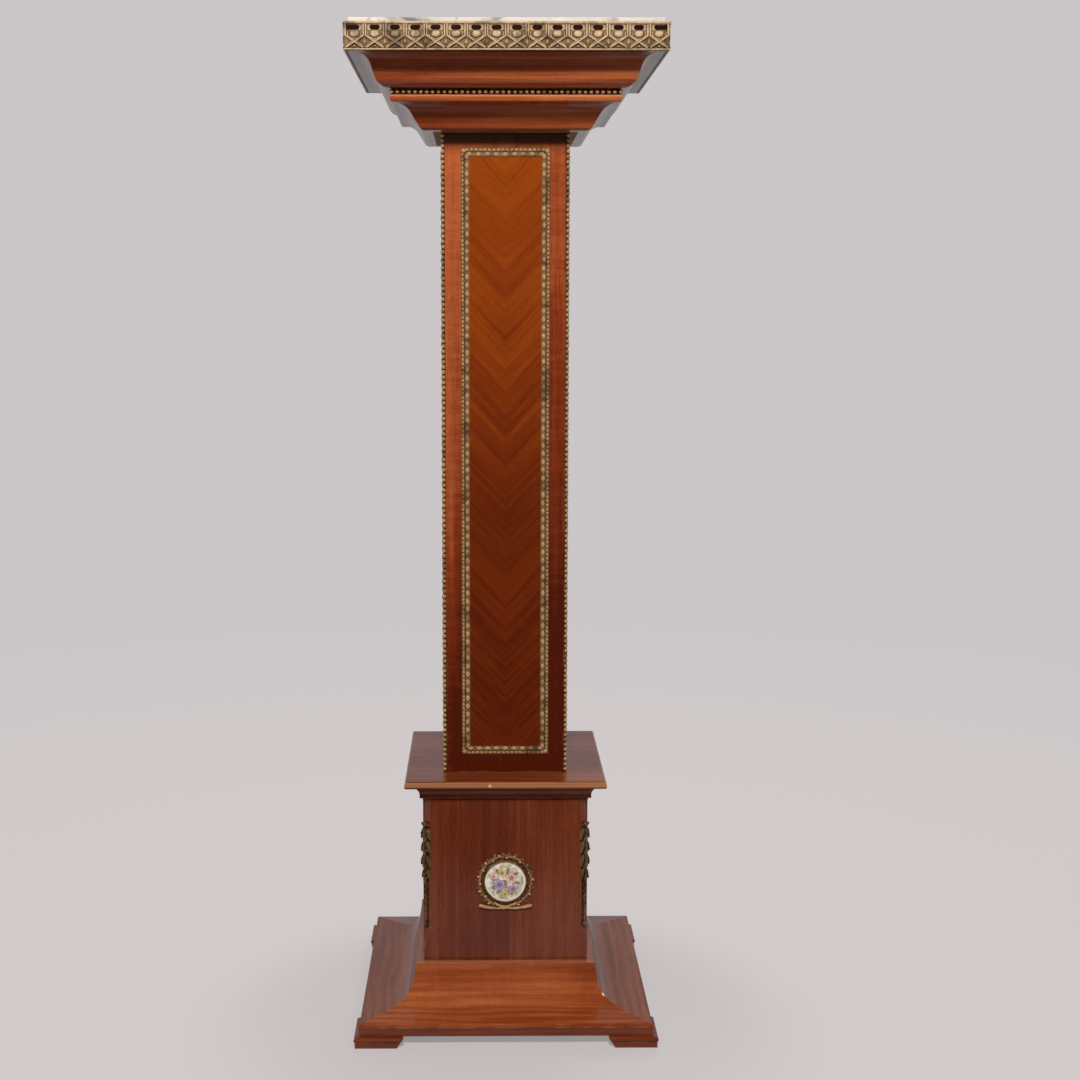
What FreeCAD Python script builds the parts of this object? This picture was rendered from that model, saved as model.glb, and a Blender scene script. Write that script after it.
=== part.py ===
import FreeCAD, Part
import math
import os
from types import SimpleNamespace

import Sketcher

# A square pedestal for a bust or a plant: four bracket feet, a coved base, a die with
# corner mounts, a tall veneered shaft and a moulded capital under a loose marble slab.
# Millimetres, +Z up, front towards -Y, origin on the floor under the middle.

SIZES = {
    # four bracket feet
    "foot_proud": 6.0,
    "foot_length": 57.0,
    "foot_depth": 26.0,
    "foot_height": 12.5,
    "foot_bead_height": 5.6,
    "foot_bead_reach": 1.4,
    "foot_end_slant": 9.0,
    # base board, cove and core
    "base_reach": 63.0,
    "base_board_thickness": 10.0,
    "base_moulding_height": 51.5,
    "base_edge_height": 3.6,
    "base_edge_ease": 0.8,
    "base_cove_radius": 30.0,
    "base_cove_lead": 32.0,
    "base_cove_drop": 14.0,
    "base_core_inset": 14.5,
    "ledge_reach": 9.0,
    "ledge_fillet": 3.6,
    # die
    "die_width": 194.0,
    "die_height": 214.4,
    "die_board_thickness": 18.0,
    "arris_chamfer": 8.0,
    "arris_stop_foot": 10.0,
    "arris_stop_length": 30.0,
    "arris_top_gap": 3.0,
    "die_block_width": 24.0,
    "die_block_height": 150.0,
    # cap over the die
    "cap_overhang": 20.5,
    "cap_thickness": 8.6,
    "cap_top_round": 3.4,
    "cap_foot_round": 2.2,
    "cap_cove_height": 15.4,
    "cap_cove_reach": 8.8,
    "cap_cove_foot_reach": 3.6,
    "cap_cove_lip": 2.4,
    "cap_cove_radius": 11.0,
    # shaft
    "shaft_width": 145.0,
    "shaft_height": 743.0,
    "shaft_board_thickness": 14.0,
    "bead_rebate": 3.5,
    "bead_proud": 1.0,
    "bead_round": 2.2,
    "panel_width": 92.0,
    "panel_foot_margin": 26.5,
    "panel_head_margin": 22.0,
    "panel_thickness": 1.2,
    "frame_strip_width": 9.6,
    "frame_plate_thickness": 0.8,
    "frame_bead_width": 3.4,
    "frame_bead_thickness": 2.2,
    "frame_leaf_width": 5.0,
    "frame_leaf_thickness": 1.6,
    "frame_edge": 0.4,
    "joiner_height": 40.0,
    "joiner_clearance": 0.2,
    # capital
    "capital_core_reach": 9.5,
    "lower_crown_height": 27.5,
    "lower_crown_foot_reach": 17.5,
    "lower_crown_reach": 33.0,
    "lower_foot_radius": 8.0,
    "lower_head_radius": 21.0,
    "fascia_height": 7.7,
    "fascia_reach": 4.5,
    "fascia_round": 2.8,
    "pearl_step_height": 6.4,
    "pearl_step_back": 3.6,
    "pearl_strip_height": 5.8,
    "pearl_strip_reach": 4.4,
    "upper_crown_height": 33.4,
    "upper_crown_foot_reach": 4.1,
    "upper_crown_reach": 33.0,
    "upper_foot_radius": 16.5,
    "upper_head_radius": 14.5,
    "upper_core_inset": 18.0,
    # top
    "top_board_thickness": 15.0,
    "slab_overhang": 8.4,
    "slab_thickness": 20.0,
    "slab_edge_round": 1.2,
    "slab_clearance": 0.5,
    "edging_thickness": 2.4,
    "edging_drop": 0.8,
    "gallery_height": 29.8,
    "gallery_foot_gap": 0.2,
    "gallery_plate": 0.6,
    "gallery_rim_height": 2.2,
    "gallery_relief": 2.1,
    "gallery_motifs": 16,
    "slot_width": 11.0,
    "slot_height": 3.8,
    "slot_drop": 3.4,
    "lattice_head": 14.6,
    "lattice_foot": 2.2,
    "lattice_width": 18.8,
    "lattice_bar": 1.6,
    "lattice_relief": 1.5,
    # mounts on the die
    "chute_top_gap": 27.0,
    "chute_length": 131.0,
    "chute_width": 16.0,
    "chute_depth": 9.4,
    "plaque_rise": 97.0,
    "plaque_diameter": 47.6,
    "plaque_rim": 1.4,
    "plaque_dome": 2.6,
    "bezel_width": 2.6,
    "bezel_depth": 3.2,
    "bezel_edge": 1.6,
    "bezel_clearance": 0.1,
    "wreath_diameter": 69.0,
    "wreath_depth": 4.6,
    "wreath_notch": 2.6,
    "wreath_edge": 2.4,
    "wreath_ridge_inset": 1.4,
    "stem_span": 66.0,
    "stem_drop": 30.0,
    "stem_width": 3.4,
    # coach screws on the axis
    "screw_length": 42.0,
    "screw_diameter": 8.0,
    "screw_head_diameter": 15.0,
    "screw_head_height": 4.0,
    "screw_clearance": 0.2,
}

SIDES = {"back": 0, "left": 90, "front": 180, "right": 270}
CORNERS = {"back_right": 0, "back_left": 90, "front_left": 180, "front_right": 270}
DIAGONAL = math.sqrt(2)
MITRE_SPARE = 2.0

doc = FreeCAD.newDocument("pedestal")
sheet = doc.addObject("Spreadsheet::Sheet", "Sizes")
for row, (alias, number) in enumerate(SIZES.items(), start=1):
    sheet.set(f"A{row}", alias)
    sheet.set(f"B{row}", str(number))
    sheet.setAlias(f"B{row}", alias)
doc.recompute()


class Size:
    """A length and the sheet expression that gives it, so that a sum stays bound."""

    def __init__(self, value, text):
        self.value = value
        self.text = text

    def combine(self, sign, other, value):
        return Size(value, f"({self.text} {sign} {other.text})")

    def __add__(self, other):
        other = as_size(other)
        return self.combine("+", other, self.value + other.value)

    def __sub__(self, other):
        other = as_size(other)
        return self.combine("-", other, self.value - other.value)

    def __mul__(self, other):
        other = as_size(other)
        return self.combine("*", other, self.value * other.value)

    def __truediv__(self, other):
        other = as_size(other)
        return self.combine("/", other, self.value / other.value)

    def __neg__(self):
        return Size(-self.value, f"(0 - {self.text})")


def as_size(thing):
    return thing if isinstance(thing, Size) else Size(float(thing), repr(float(thing)))


d = SimpleNamespace(
    **{alias: Size(number, f"Sizes.{alias}") for alias, number in SIZES.items()}
)

# heights of the seats, from the floor up
board_foot = d.foot_height
board_top = board_foot + d.base_board_thickness
base_top = board_top + d.base_moulding_height
die_top = base_top + d.die_height
cap_top = die_top + d.cap_thickness
shaft_top = cap_top + d.shaft_height
lower_top = shaft_top + d.lower_crown_height
fascia_top = lower_top + d.fascia_height
middle_top = fascia_top + d.pearl_step_height
upper_top = middle_top + d.upper_crown_height
slab_seat = upper_top + d.top_board_thickness

# distances of the faces from the middle
die_half = d.die_width / 2
ledge_half = die_half + d.ledge_reach
base_half = ledge_half + d.base_reach
base_core_half = die_half - d.base_core_inset
foot_face = base_half + d.foot_proud
cap_half = die_half + d.cap_overhang
shaft_half = d.shaft_width / 2
joiner_half = shaft_half - d.shaft_board_thickness - d.joiner_clearance
core_half = shaft_half + d.capital_core_reach
lower_foot_half = shaft_half + d.lower_crown_foot_reach
lower_head_half = lower_foot_half + d.lower_crown_reach
fascia_half = lower_head_half + d.fascia_reach
step_half = fascia_half - d.pearl_step_back
upper_foot_half = step_half + d.upper_crown_foot_reach
upper_head_half = upper_foot_half + d.upper_crown_reach
upper_core_half = upper_foot_half - d.upper_core_inset
slab_half = upper_head_half + d.slab_overhang
top_board_half = slab_half + d.slab_clearance
edging_half = top_board_half + d.edging_thickness
gallery_half = edging_half + d.gallery_plate + d.gallery_relief
chamfer_distance = (d.die_width - d.arris_chamfer) / DIAGONAL
plaque_radius = d.plaque_diameter / 2

nodes = []


def keep(label, piece):
    """Name a finished sub-part; the label is also its file's name."""
    piece.Label = label
    nodes.append(piece)
    return piece


def bind(piece, **texts):
    for name, length in texts.items():
        piece.setExpression(name.replace("_", "."), as_size(length).text)


def new_body(name, turn=0.0):
    body = doc.addObject("PartDesign::Body", name)
    upright = FreeCAD.Vector(0, 0, 1)
    body.Placement = FreeCAD.Placement(FreeCAD.Vector(), FreeCAD.Rotation(upright, turn))
    return body


def new_sketch(body, role, offset=None):
    """A sketch on one of the body's own planes, moved along its normal by offset."""
    plane = next(p for p in body.Origin.OriginFeatures if p.Role == role)
    sketch = body.newObject("Sketcher::SketchObject", f"{body.Name}_Sketch")
    sketch.AttachmentSupport = (plane, [""])
    sketch.MapMode = "FlatFace"
    if offset is not None:
        sketch.setExpression("AttachmentOffset.Base.z", as_size(offset).text)
    return sketch


def fix_point(sketch, edge, end, place):
    """Hold one end of an edge at a bound x and y; None leaves that one free."""
    for kind, length in zip(("DistanceX", "DistanceY"), place):
        if length is None:
            continue
        number = sketch.addConstraint(
            Sketcher.Constraint(kind, edge, end, as_size(length).value)
        )
        sketch.setExpression(f"Constraints[{number}]", as_size(length).text)


def outline(sketch, corners):
    """Close straight edges through the corners, each a bound (x, y)."""
    places = [FreeCAD.Vector(as_size(x).value, as_size(y).value) for x, y in corners]
    first = sketch.GeometryCount
    count = len(corners)
    for i, place in enumerate(places):
        sketch.addGeometry(Part.LineSegment(place, places[(i + 1) % count]))
    for i, corner in enumerate(corners):
        following = first + (i + 1) % count
        sketch.addConstraint(Sketcher.Constraint("Coincident", first + i, 2, following, 1))
        fix_point(sketch, first + i, 1, corner)


def arc_between(start, end, radius, left):
    """An arc of that radius from start to end, bulging to the left or the right."""
    chord = end - start
    middle = (start + end) * 0.5
    across = FreeCAD.Vector(-chord.y, chord.x, 0).normalize()
    sink = math.sqrt(max(radius**2 - (chord.Length / 2) ** 2, 0))
    side = 1 if left else -1
    centre = middle - across * (side * sink)
    crown = centre + across * (side * radius)
    return Part.Arc(start, crown, end)


def curved_outline(sketch, corners, arcs, tangents=(), centres=None, half_rounds=()):
    """A closed outline in which some edges are arcs.

    corners: (x, y, guess) with None for a coordinate that tangency settles.
    arcs: edge number to (radius, bulges to the left); tangents: corner numbers.
    centres: edge number to the bound (x, y) of that arc's centre.
    half_rounds: arcs whose ends and a tangent already settle the radius.
    """
    places = []
    for x, y, guess in corners:
        spot = guess or (as_size(x).value, as_size(y).value)
        places.append(FreeCAD.Vector(*spot))
    count = len(corners)
    ends = []
    for i, place in enumerate(places):
        following = places[(i + 1) % count]
        if i not in arcs:
            sketch.addGeometry(Part.LineSegment(place, following))
            ends.append((1, 2))
            continue
        radius, left = arcs[i]
        sketch.addGeometry(arc_between(place, following, radius.value, left))
        ends.append((2, 1) if left else (1, 2))
    for i, (x, y, _) in enumerate(corners):
        kind = "Tangent" if i in tangents else "Coincident"
        before = (i - 1) % count
        sketch.addConstraint(
            Sketcher.Constraint(kind, before, ends[before][1], i, ends[i][0])
        )
        fix_point(sketch, i, ends[i][0], (x, y))
    for i, (radius, _) in arcs.items():
        if i in half_rounds:
            continue
        number = sketch.addConstraint(Sketcher.Constraint("Radius", i, radius.value))
        sketch.setExpression(f"Constraints[{number}]", radius.text)
    for i, place in (centres or {}).items():
        fix_point(sketch, i, 3, place)


def pad(body, sketch, length, both_ways=False):
    feature = body.newObject("PartDesign::Pad", f"{body.Name}_Pad")
    feature.Profile = sketch
    feature.SideType = "Symmetric" if both_ways else "One side"
    feature.setExpression("Length", as_size(length).text)
    return feature


def pocket(body, sketch, length, reverse=False, both_ways=False):
    feature = body.newObject("PartDesign::Pocket", f"{body.Name}_Pocket")
    feature.Profile = sketch
    feature.SideType = "Symmetric" if both_ways else "One side"
    feature.Reversed = reverse
    feature.setExpression("Length", as_size(length).text)
    return feature


def square(sketch, half):
    outline(sketch, [(-half, -half), (half, -half), (half, half), (-half, half)])


def block(name, half, foot, height):
    """A plain square body centred on the axis."""
    body = new_body(name)
    plan = new_sketch(body, "XY_Plane", foot)
    square(plan, half)
    pad(body, plan, height)
    return body


def round_edges(body, feature, radius, wanted):
    """Fillet the edges that wanted(edge) picks out."""
    doc.recompute()
    names = [f"Edge{i}" for i, edge in enumerate(feature.Shape.Edges, 1) if wanted(edge)]
    fillet = body.newObject("PartDesign::Fillet", f"{body.Name}_Fillet")
    fillet.Base = (feature, names)
    fillet.setExpression("Radius", radius.text)
    return fillet


def level_at(height):
    """Picks out the edges that lie wholly at one height."""
    target = height.value

    def wanted(edge):
        box = edge.BoundBox
        return abs(box.ZMin - target) < 0.01 and abs(box.ZMax - target) < 0.01

    return wanted


def cut_mitres(body, inner, outer, top):
    """Trim a length that faces +Y to the two 45 degree mitre planes."""
    plan = new_sketch(body, "XY_Plane")
    near = inner - MITRE_SPARE
    far = outer + MITRE_SPARE
    outline(plan, [(near, near), (far, near), (far, far)])
    outline(plan, [(-near, near), (-far, far), (-far, near)])
    return pocket(body, plan, top + MITRE_SPARE, reverse=True)


def moulding_length(name, turn, draw_profile, inner, outer, top):
    """One side of a moulding that runs round the column, mitred at both ends."""
    body = new_body(name, turn)
    section = new_sketch(body, "YZ_Plane")
    draw_profile(section)
    pad(body, section, (outer + MITRE_SPARE) * 2, both_ways=True)
    cut_mitres(body, inner, outer, top)
    return body


def mitred_board(name, turn, outer, thickness, foot, height, notch=None):
    """A board of a mitred box, facing +Y before its turn, with notched outer corners."""
    body = new_body(name, turn)
    plan = new_sketch(body, "XY_Plane", foot)
    inner = outer - thickness
    if notch is None:
        corners = [(-inner, inner), (inner, inner), (outer, outer), (-outer, outer)]
    else:
        seat = outer - notch
        corners = [
            (-inner, inner),
            (inner, inner),
            (seat, seat),
            (seat, outer),
            (-seat, outer),
            (-seat, seat),
        ]
    outline(plan, corners)
    pad(body, plan, height)
    return body


def group(label, pieces):
    """Separate solids that share one node."""
    compound = doc.addObject("Part::Compound", f"{label}_group")
    compound.Links = pieces
    return keep(label, compound)


# ---- feet ----


def make_foot(corner, turn):
    """A bracket foot that wraps the +X +Y corner, beaded along its upper edge."""
    body = new_body(f"Foot_{corner}", turn)
    face = foot_face
    rear = face - d.foot_length
    inner = face - d.foot_depth
    plinth = d.foot_height - d.foot_bead_height
    path = new_sketch(body, "XY_Plane")
    spots = [(rear, face), (face, face), (face, rear)]
    places = [FreeCAD.Vector(x.value, y.value) for x, y in spots]
    for i in range(2):
        path.addGeometry(Part.LineSegment(places[i], places[i + 1]))
    path.addConstraint(Sketcher.Constraint("Coincident", 0, 2, 1, 1))
    fix_point(path, 0, 1, spots[0])
    fix_point(path, 0, 2, spots[1])
    fix_point(path, 1, 2, spots[2])
    section = new_sketch(body, "YZ_Plane", rear)
    round_radius = d.foot_bead_height / 2
    shoulder = face - round_radius
    curved_outline(
        section,
        [
            (inner, 0, None),
            (face - d.foot_bead_reach, 0, None),
            (face - d.foot_bead_reach, plinth, None),
            (shoulder, plinth, None),
            (shoulder, d.foot_height, None),
            (inner, d.foot_height, None),
        ],
        {3: (round_radius, False)},
        tangents=(3,),
        half_rounds=(3,),
    )
    sweep = body.newObject("PartDesign::AdditivePipe", f"{body.Name}_Sweep")
    sweep.Profile = section
    sweep.Spine = path
    sweep.Transition = "Right corner"
    # the inner ends lean back under the board
    for role in ("XZ_Plane", "YZ_Plane"):
        lean = new_sketch(body, role)
        outline(
            lean,
            [
                (rear - MITRE_SPARE, -MITRE_SPARE),
                (rear + d.foot_end_slant, -MITRE_SPARE),
                (rear, d.foot_height - d.foot_bead_height * 0.2),
                (rear - MITRE_SPARE, d.foot_height),
            ],
        )
        pocket(body, lean, foot_face * 2, reverse=(role == "YZ_Plane"))
    return body


for corner, turn in CORNERS.items():
    keep(f"foot_{corner}", make_foot(corner, turn))

# ---- base ----


def drill(body, plan_height, depth, upward):
    """A clearance hole on the axis for the screw's shank."""
    plan = new_sketch(body, "XY_Plane", plan_height)
    bore = d.screw_diameter / 2 + d.screw_clearance
    middle = FreeCAD.Vector()
    edge = plan.addGeometry(Part.Circle(middle, FreeCAD.Vector(0, 0, 1), bore.value))
    plan.addConstraint(Sketcher.Constraint("Coincident", edge, 3, -1, 1))
    number = plan.addConstraint(Sketcher.Constraint("Radius", edge, bore.value))
    plan.setExpression(f"Constraints[{number}]", bore.text)
    return pocket(body, plan, depth, reverse=upward)


def countersink(body, mouth_height, upward):
    """A conical seat for the head, widest at the mouth."""
    cone = body.newObject("PartDesign::SubtractiveCone", f"{body.Name}_Sink")
    wide = (d.screw_head_diameter / 2 + d.screw_clearance).text
    narrow = (d.screw_diameter / 2 + d.screw_clearance).text
    cone.setExpression("Radius1", wide if upward else narrow)
    cone.setExpression("Radius2", narrow if upward else wide)
    cone.setExpression("Height", d.screw_head_height.text)
    foot = mouth_height if upward else mouth_height - d.screw_head_height
    cone.setExpression("Placement.Base.z", foot.text)


base_board = block("BaseBoard", base_half, board_foot, d.base_board_thickness)
drill(base_board, board_foot, d.base_board_thickness, upward=True)
countersink(base_board, board_foot, upward=True)
keep("base_board", base_board)

base_core = block("BaseCore", base_core_half, board_top, d.base_moulding_height)
drill(base_core, board_top, d.screw_length - d.base_board_thickness, upward=True)
keep("base_core", base_core)


def tangent_from_point(point, centre, radius, side):
    """Where a line from the point grazes the circle, as a starting guess."""
    reach = math.hypot(point[0] - centre[0], point[1] - centre[1])
    aim = math.atan2(point[1] - centre[1], point[0] - centre[0])
    swing = aim + side * math.acos(radius / reach)
    return (centre[0] + radius * math.cos(swing), centre[1] + radius * math.sin(swing))


def draw_base_profile(section):
    """Low edge, gentle slope, quarter cove and a fillet under the die's ledge."""
    centre = (ledge_half + d.base_cove_lead, base_top - d.base_cove_drop)
    centre_place = (centre[0].value, centre[1].value)
    edge_top = board_top + d.base_edge_height
    slope_foot = (base_half - d.base_edge_ease, edge_top)
    fillet_foot = (ledge_half, base_top - d.ledge_fillet)
    radius = d.base_cove_radius
    low_touch = tangent_from_point(
        (slope_foot[0].value, slope_foot[1].value), centre_place, radius.value, -1
    )
    high_touch = tangent_from_point(
        (fillet_foot[0].value, fillet_foot[1].value), centre_place, radius.value, 1
    )
    curved_outline(
        section,
        [
            (base_core_half, board_top, None),
            (base_half, board_top, None),
            (slope_foot[0], slope_foot[1], None),
            (None, None, low_touch),
            (None, None, high_touch),
            (fillet_foot[0], fillet_foot[1], None),
            (ledge_half, base_top, None),
            (base_core_half, base_top, None),
        ],
        {3: (radius, True)},
        tangents=(3, 4),
        centres={3: centre},
    )


for side, turn in SIDES.items():
    length = moulding_length(
        f"BaseCove_{side}", turn, draw_base_profile, base_core_half, base_half, base_top
    )
    keep(f"base_cove_{side}", length)

# ---- die ----

cove_foot = die_top - d.cap_cove_height


def cut_arris(body):
    """Stopped chamfer at the +X edge and, mirrored, at the -X edge."""
    spare = MITRE_SPARE
    whole = d.arris_chamfer
    sections = []
    levels = (
        (cove_foot - d.arris_top_gap, whole),
        (base_top + d.arris_stop_foot + d.arris_stop_length, whole),
        (base_top + d.arris_stop_foot, whole * 0.02),
    )
    for height, leg in levels:
        plan = new_sketch(body, "XY_Plane", height)
        near = die_half - leg - spare
        far = die_half + spare
        outline(plan, [(near, far), (far, near), (far, far)])
        sections.append(plan)
    cut = body.newObject("PartDesign::SubtractiveLoft", f"{body.Name}_Arris")
    cut.Profile = sections[0]
    cut.Sections = sections[1:]
    cut.Ruled = True
    mirror = body.newObject("PartDesign::Mirrored", f"{body.Name}_Mirror")
    mirror.Originals = [cut]
    plane = next(p for p in body.Origin.OriginFeatures if p.Role == "YZ_Plane")
    mirror.MirrorPlane = (plane, [""])
    body.Tip = mirror


for side, turn in SIDES.items():
    panel = mitred_board(
        f"DiePanel_{side}", turn, die_half, d.die_board_thickness, base_top, d.die_height
    )
    cut_arris(panel)
    keep(f"die_panel_{side}", panel)

die_bore_half = die_half - d.die_board_thickness
glue_blocks = []
for corner, turn in CORNERS.items():
    body = new_body(f"DieBlock_{corner}", turn)
    plan = new_sketch(body, "XY_Plane", base_top)
    free = die_bore_half - d.die_block_width
    outline(plan, [(free, die_bore_half), (die_bore_half, free), (die_bore_half, die_bore_half)])
    pad(body, plan, d.die_block_height)
    glue_blocks.append(body)
group("die_glue_blocks", glue_blocks)

# ---- cap ----

cap_board = block("CapBoard", cap_half, die_top, d.cap_thickness)
round_edges(cap_board, cap_board.Tip, d.cap_top_round, level_at(cap_top))
round_edges(cap_board, cap_board.Tip, d.cap_foot_round, level_at(die_top))
drill(cap_board, die_top, d.cap_thickness, upward=True)
countersink(cap_board, die_top, upward=True)
keep("cap_board", cap_board)


def draw_cap_cove(section):
    low = die_half + d.cap_cove_foot_reach
    high = die_half + d.cap_cove_reach
    curved_outline(
        section,
        [
            (die_half, cove_foot, None),
            (low, cove_foot, None),
            (low, cove_foot + d.cap_cove_lip, None),
            (high, die_top - d.cap_cove_lip, None),
            (high, die_top, None),
            (die_half, die_top, None),
        ],
        {2: (d.cap_cove_radius, True)},
    )


cove_lengths = [
    moulding_length(
        f"CapCove_{side}",
        turn,
        draw_cap_cove,
        die_half,
        die_half + d.cap_cove_reach,
        die_top,
    )
    for side, turn in SIDES.items()
]
group("cap_cove", cove_lengths)

# ---- shaft ----

panel_foot = cap_top + d.panel_foot_margin
panel_head = shaft_top - d.panel_head_margin
panel_half = d.panel_width / 2


def rectangle(sketch, half_width, low, high):
    outline(
        sketch,
        [(-half_width, low), (half_width, low), (half_width, high), (-half_width, high)],
    )


def make_shaft_board(side, turn):
    """A mitred board with a shallow bed for the inlaid panel."""
    body = mitred_board(
        f"ShaftBoard_{side}",
        turn,
        shaft_half,
        d.shaft_board_thickness,
        cap_top,
        d.shaft_height,
        notch=d.bead_rebate,
    )
    bed = new_sketch(body, "XZ_Plane", -(shaft_half - d.panel_thickness))
    rectangle(bed, panel_half, panel_foot, panel_head)
    pocket(body, bed, d.panel_thickness)
    return body


def make_chevron_panel(side, turn):
    body = new_body(f"ChevronPanel_{side}", turn)
    face = new_sketch(body, "XZ_Plane", -shaft_half)
    rectangle(face, panel_half, panel_foot, panel_head)
    pad(body, face, d.panel_thickness)
    return body


def strip_layers():
    """The strip's plate, its bead row and its leaf row: inner edge, outer edge, height."""
    inner = panel_half - d.frame_strip_width / 2
    outer = panel_half + d.frame_strip_width / 2
    bead_edge = inner + d.frame_edge
    leaf_edge = outer - d.frame_edge
    return [
        (inner, outer, d.frame_plate_thickness),
        (bead_edge, bead_edge + d.frame_bead_width, d.frame_bead_thickness),
        (leaf_edge - d.frame_leaf_width, leaf_edge, d.frame_leaf_thickness),
    ]


def make_frame_strip(name, turn, corners_of):
    """One mitred strip of the panel frame; corners_of gives a layer's trapezium."""
    body = new_body(name, turn)
    for inner, outer, height in strip_layers():
        layer = new_sketch(body, "XZ_Plane", -shaft_half)
        outline(layer, corners_of(inner - panel_half, outer - panel_half))
        raised = pad(body, layer, height)
        raised.Reversed = True
    return body


def upright_corners(sign):
    def corners_of(inner, outer):
        near = (panel_half + inner) * sign
        far = (panel_half + outer) * sign
        return [
            (near, panel_foot - inner),
            (far, panel_foot - outer),
            (far, panel_head + outer),
            (near, panel_head + inner),
        ]

    return corners_of


def level_corners(height, sign):
    def corners_of(inner, outer):
        return [
            (-(panel_half + inner), height + inner * sign),
            (-(panel_half + outer), height + outer * sign),
            (panel_half + outer, height + outer * sign),
            (panel_half + inner, height + inner * sign),
        ]

    return corners_of


for side, turn in SIDES.items():
    keep(f"shaft_board_{side}", make_shaft_board(side, turn))
    keep(f"chevron_panel_{side}", make_chevron_panel(side, turn))
    strips = {
        "left": upright_corners(-1),
        "right": upright_corners(1),
        "foot": level_corners(panel_foot, -1),
        "head": level_corners(panel_head, 1),
    }
    group(
        f"panel_frame_{side}",
        [
            make_frame_strip(f"Strip_{side}_{place}", turn, corners_of)
            for place, corners_of in strips.items()
        ],
    )


def make_arris_bead(corner, turn):
    """A brass strip let into the rebate on one arris, rounded outside."""
    body = new_body(f"ArrisBead_{corner}", turn)
    plan = new_sketch(body, "XY_Plane", cap_top)
    seat = shaft_half - d.bead_rebate
    proud = shaft_half + d.bead_proud
    shoulder = proud - d.bead_round
    curved_outline(
        plan,
        [
            (seat, seat, None),
            (proud, seat, None),
            (proud, shoulder, None),
            (shoulder, proud, None),
            (seat, proud, None),
        ],
        {2: (d.bead_round, False)},
    )
    pad(body, plan, d.shaft_height)
    return body


group("arris_beads", [make_arris_bead(corner, turn) for corner, turn in CORNERS.items()])

foot_joiner = block("FootJoiner", joiner_half, cap_top, d.joiner_height)
drill(foot_joiner, cap_top, d.screw_length - d.cap_thickness, upward=True)
keep("shaft_foot_joiner", foot_joiner)

head_joiner = block("HeadJoiner", joiner_half, shaft_top - d.joiner_height, d.joiner_height)
drill(head_joiner, shaft_top, d.screw_length - d.lower_crown_height, upward=False)
keep("shaft_head_joiner", head_joiner)

# ---- capital ----

lower_core = block("LowerCore", core_half, shaft_top, d.lower_crown_height)
drill(lower_core, shaft_top, d.lower_crown_height, upward=True)
countersink(lower_core, lower_top, upward=False)
keep("capital_lower_core", lower_core)


def draw_crown(section, back, foot, head, low, high, foot_radius, head_radius):
    """A cyma: hollow above, round below, joined by one straight grazing line."""
    foot_centre = (foot.value, low.value + foot_radius.value)
    head_centre = (head.value, high.value - head_radius.value)
    span = math.hypot(head_centre[0] - foot_centre[0], head_centre[1] - foot_centre[1])
    aim = math.atan2(head_centre[1] - foot_centre[1], head_centre[0] - foot_centre[0])
    swing = aim - math.acos((foot_radius.value + head_radius.value) / span)
    reach = (math.cos(swing), math.sin(swing))
    low_touch = tuple(c + foot_radius.value * r for c, r in zip(foot_centre, reach))
    high_touch = tuple(c - head_radius.value * r for c, r in zip(head_centre, reach))
    curved_outline(
        section,
        [
            (back, low, None),
            (foot, low, None),
            (None, None, low_touch),
            (None, None, high_touch),
            (head, high, None),
            (back, high, None),
        ],
        {1: (foot_radius, False), 3: (head_radius, True)},
        tangents=(1, 2, 3, 4),
    )


def draw_lower_crown(section):
    draw_crown(
        section,
        core_half,
        lower_foot_half,
        lower_head_half,
        shaft_top,
        lower_top,
        d.lower_foot_radius,
        d.lower_head_radius,
    )


def draw_upper_crown(section):
    draw_crown(
        section,
        upper_core_half,
        upper_foot_half,
        upper_head_half,
        middle_top,
        upper_top,
        d.upper_foot_radius,
        d.upper_head_radius,
    )


for side, turn in SIDES.items():
    lower = moulding_length(
        f"LowerCrown_{side}", turn, draw_lower_crown, core_half, lower_head_half, lower_top
    )
    keep(f"lower_crown_{side}", lower)

middle_board = block("MiddleBoard", fascia_half, lower_top, d.fascia_height)
round_edges(middle_board, middle_board.Tip, d.fascia_round, level_at(lower_top))
round_edges(middle_board, middle_board.Tip, d.fascia_round, level_at(fascia_top))
step = new_sketch(middle_board, "XY_Plane", fascia_top)
square(step, step_half)
pad(middle_board, step, d.pearl_step_height)
keep("middle_board", middle_board)


def draw_pearl_strip(section):
    """Half-round strip that stands on the fascia against the step."""
    low = fascia_top
    high = fascia_top + d.pearl_strip_height
    shoulder = step_half + d.pearl_strip_reach - d.pearl_strip_height / 2
    curved_outline(
        section,
        [
            (step_half, low, None),
            (shoulder, low, None),
            (shoulder, high, None),
            (step_half, high, None),
        ],
        {1: (d.pearl_strip_height / 2, False)},
        tangents=(1,),
        half_rounds=(1,),
    )


pearl_half = step_half + d.pearl_strip_reach
pearl_lengths = [
    moulding_length(f"Pearls_{side}", turn, draw_pearl_strip, step_half, pearl_half, middle_top)
    for side, turn in SIDES.items()
]
group("pearl_strips", pearl_lengths)

upper_core = block("UpperCore", upper_core_half, middle_top, d.upper_crown_height)
keep("capital_upper_core", upper_core)

for side, turn in SIDES.items():
    upper = moulding_length(
        f"UpperCrown_{side}", turn, draw_upper_crown, upper_core_half, upper_head_half, upper_top
    )
    keep(f"upper_crown_{side}", upper)

# ---- top ----

top_board = block("TopBoard", top_board_half, upper_top, d.top_board_thickness)
keep("top_board", top_board)

gallery_foot = upper_top + d.gallery_foot_gap
gallery_head = gallery_foot + d.gallery_height
edging_head = gallery_head - d.edging_drop


edging_strips = [
    mitred_board(
        f"Edging_{side}",
        turn,
        edging_half,
        d.edging_thickness,
        upper_top,
        edging_head - upper_top,
    )
    for side, turn in SIDES.items()
]
group("top_edging", edging_strips)


plate_face = edging_half + d.gallery_plate
gallery_pitch = plate_face * 2 / d.gallery_motifs


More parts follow.
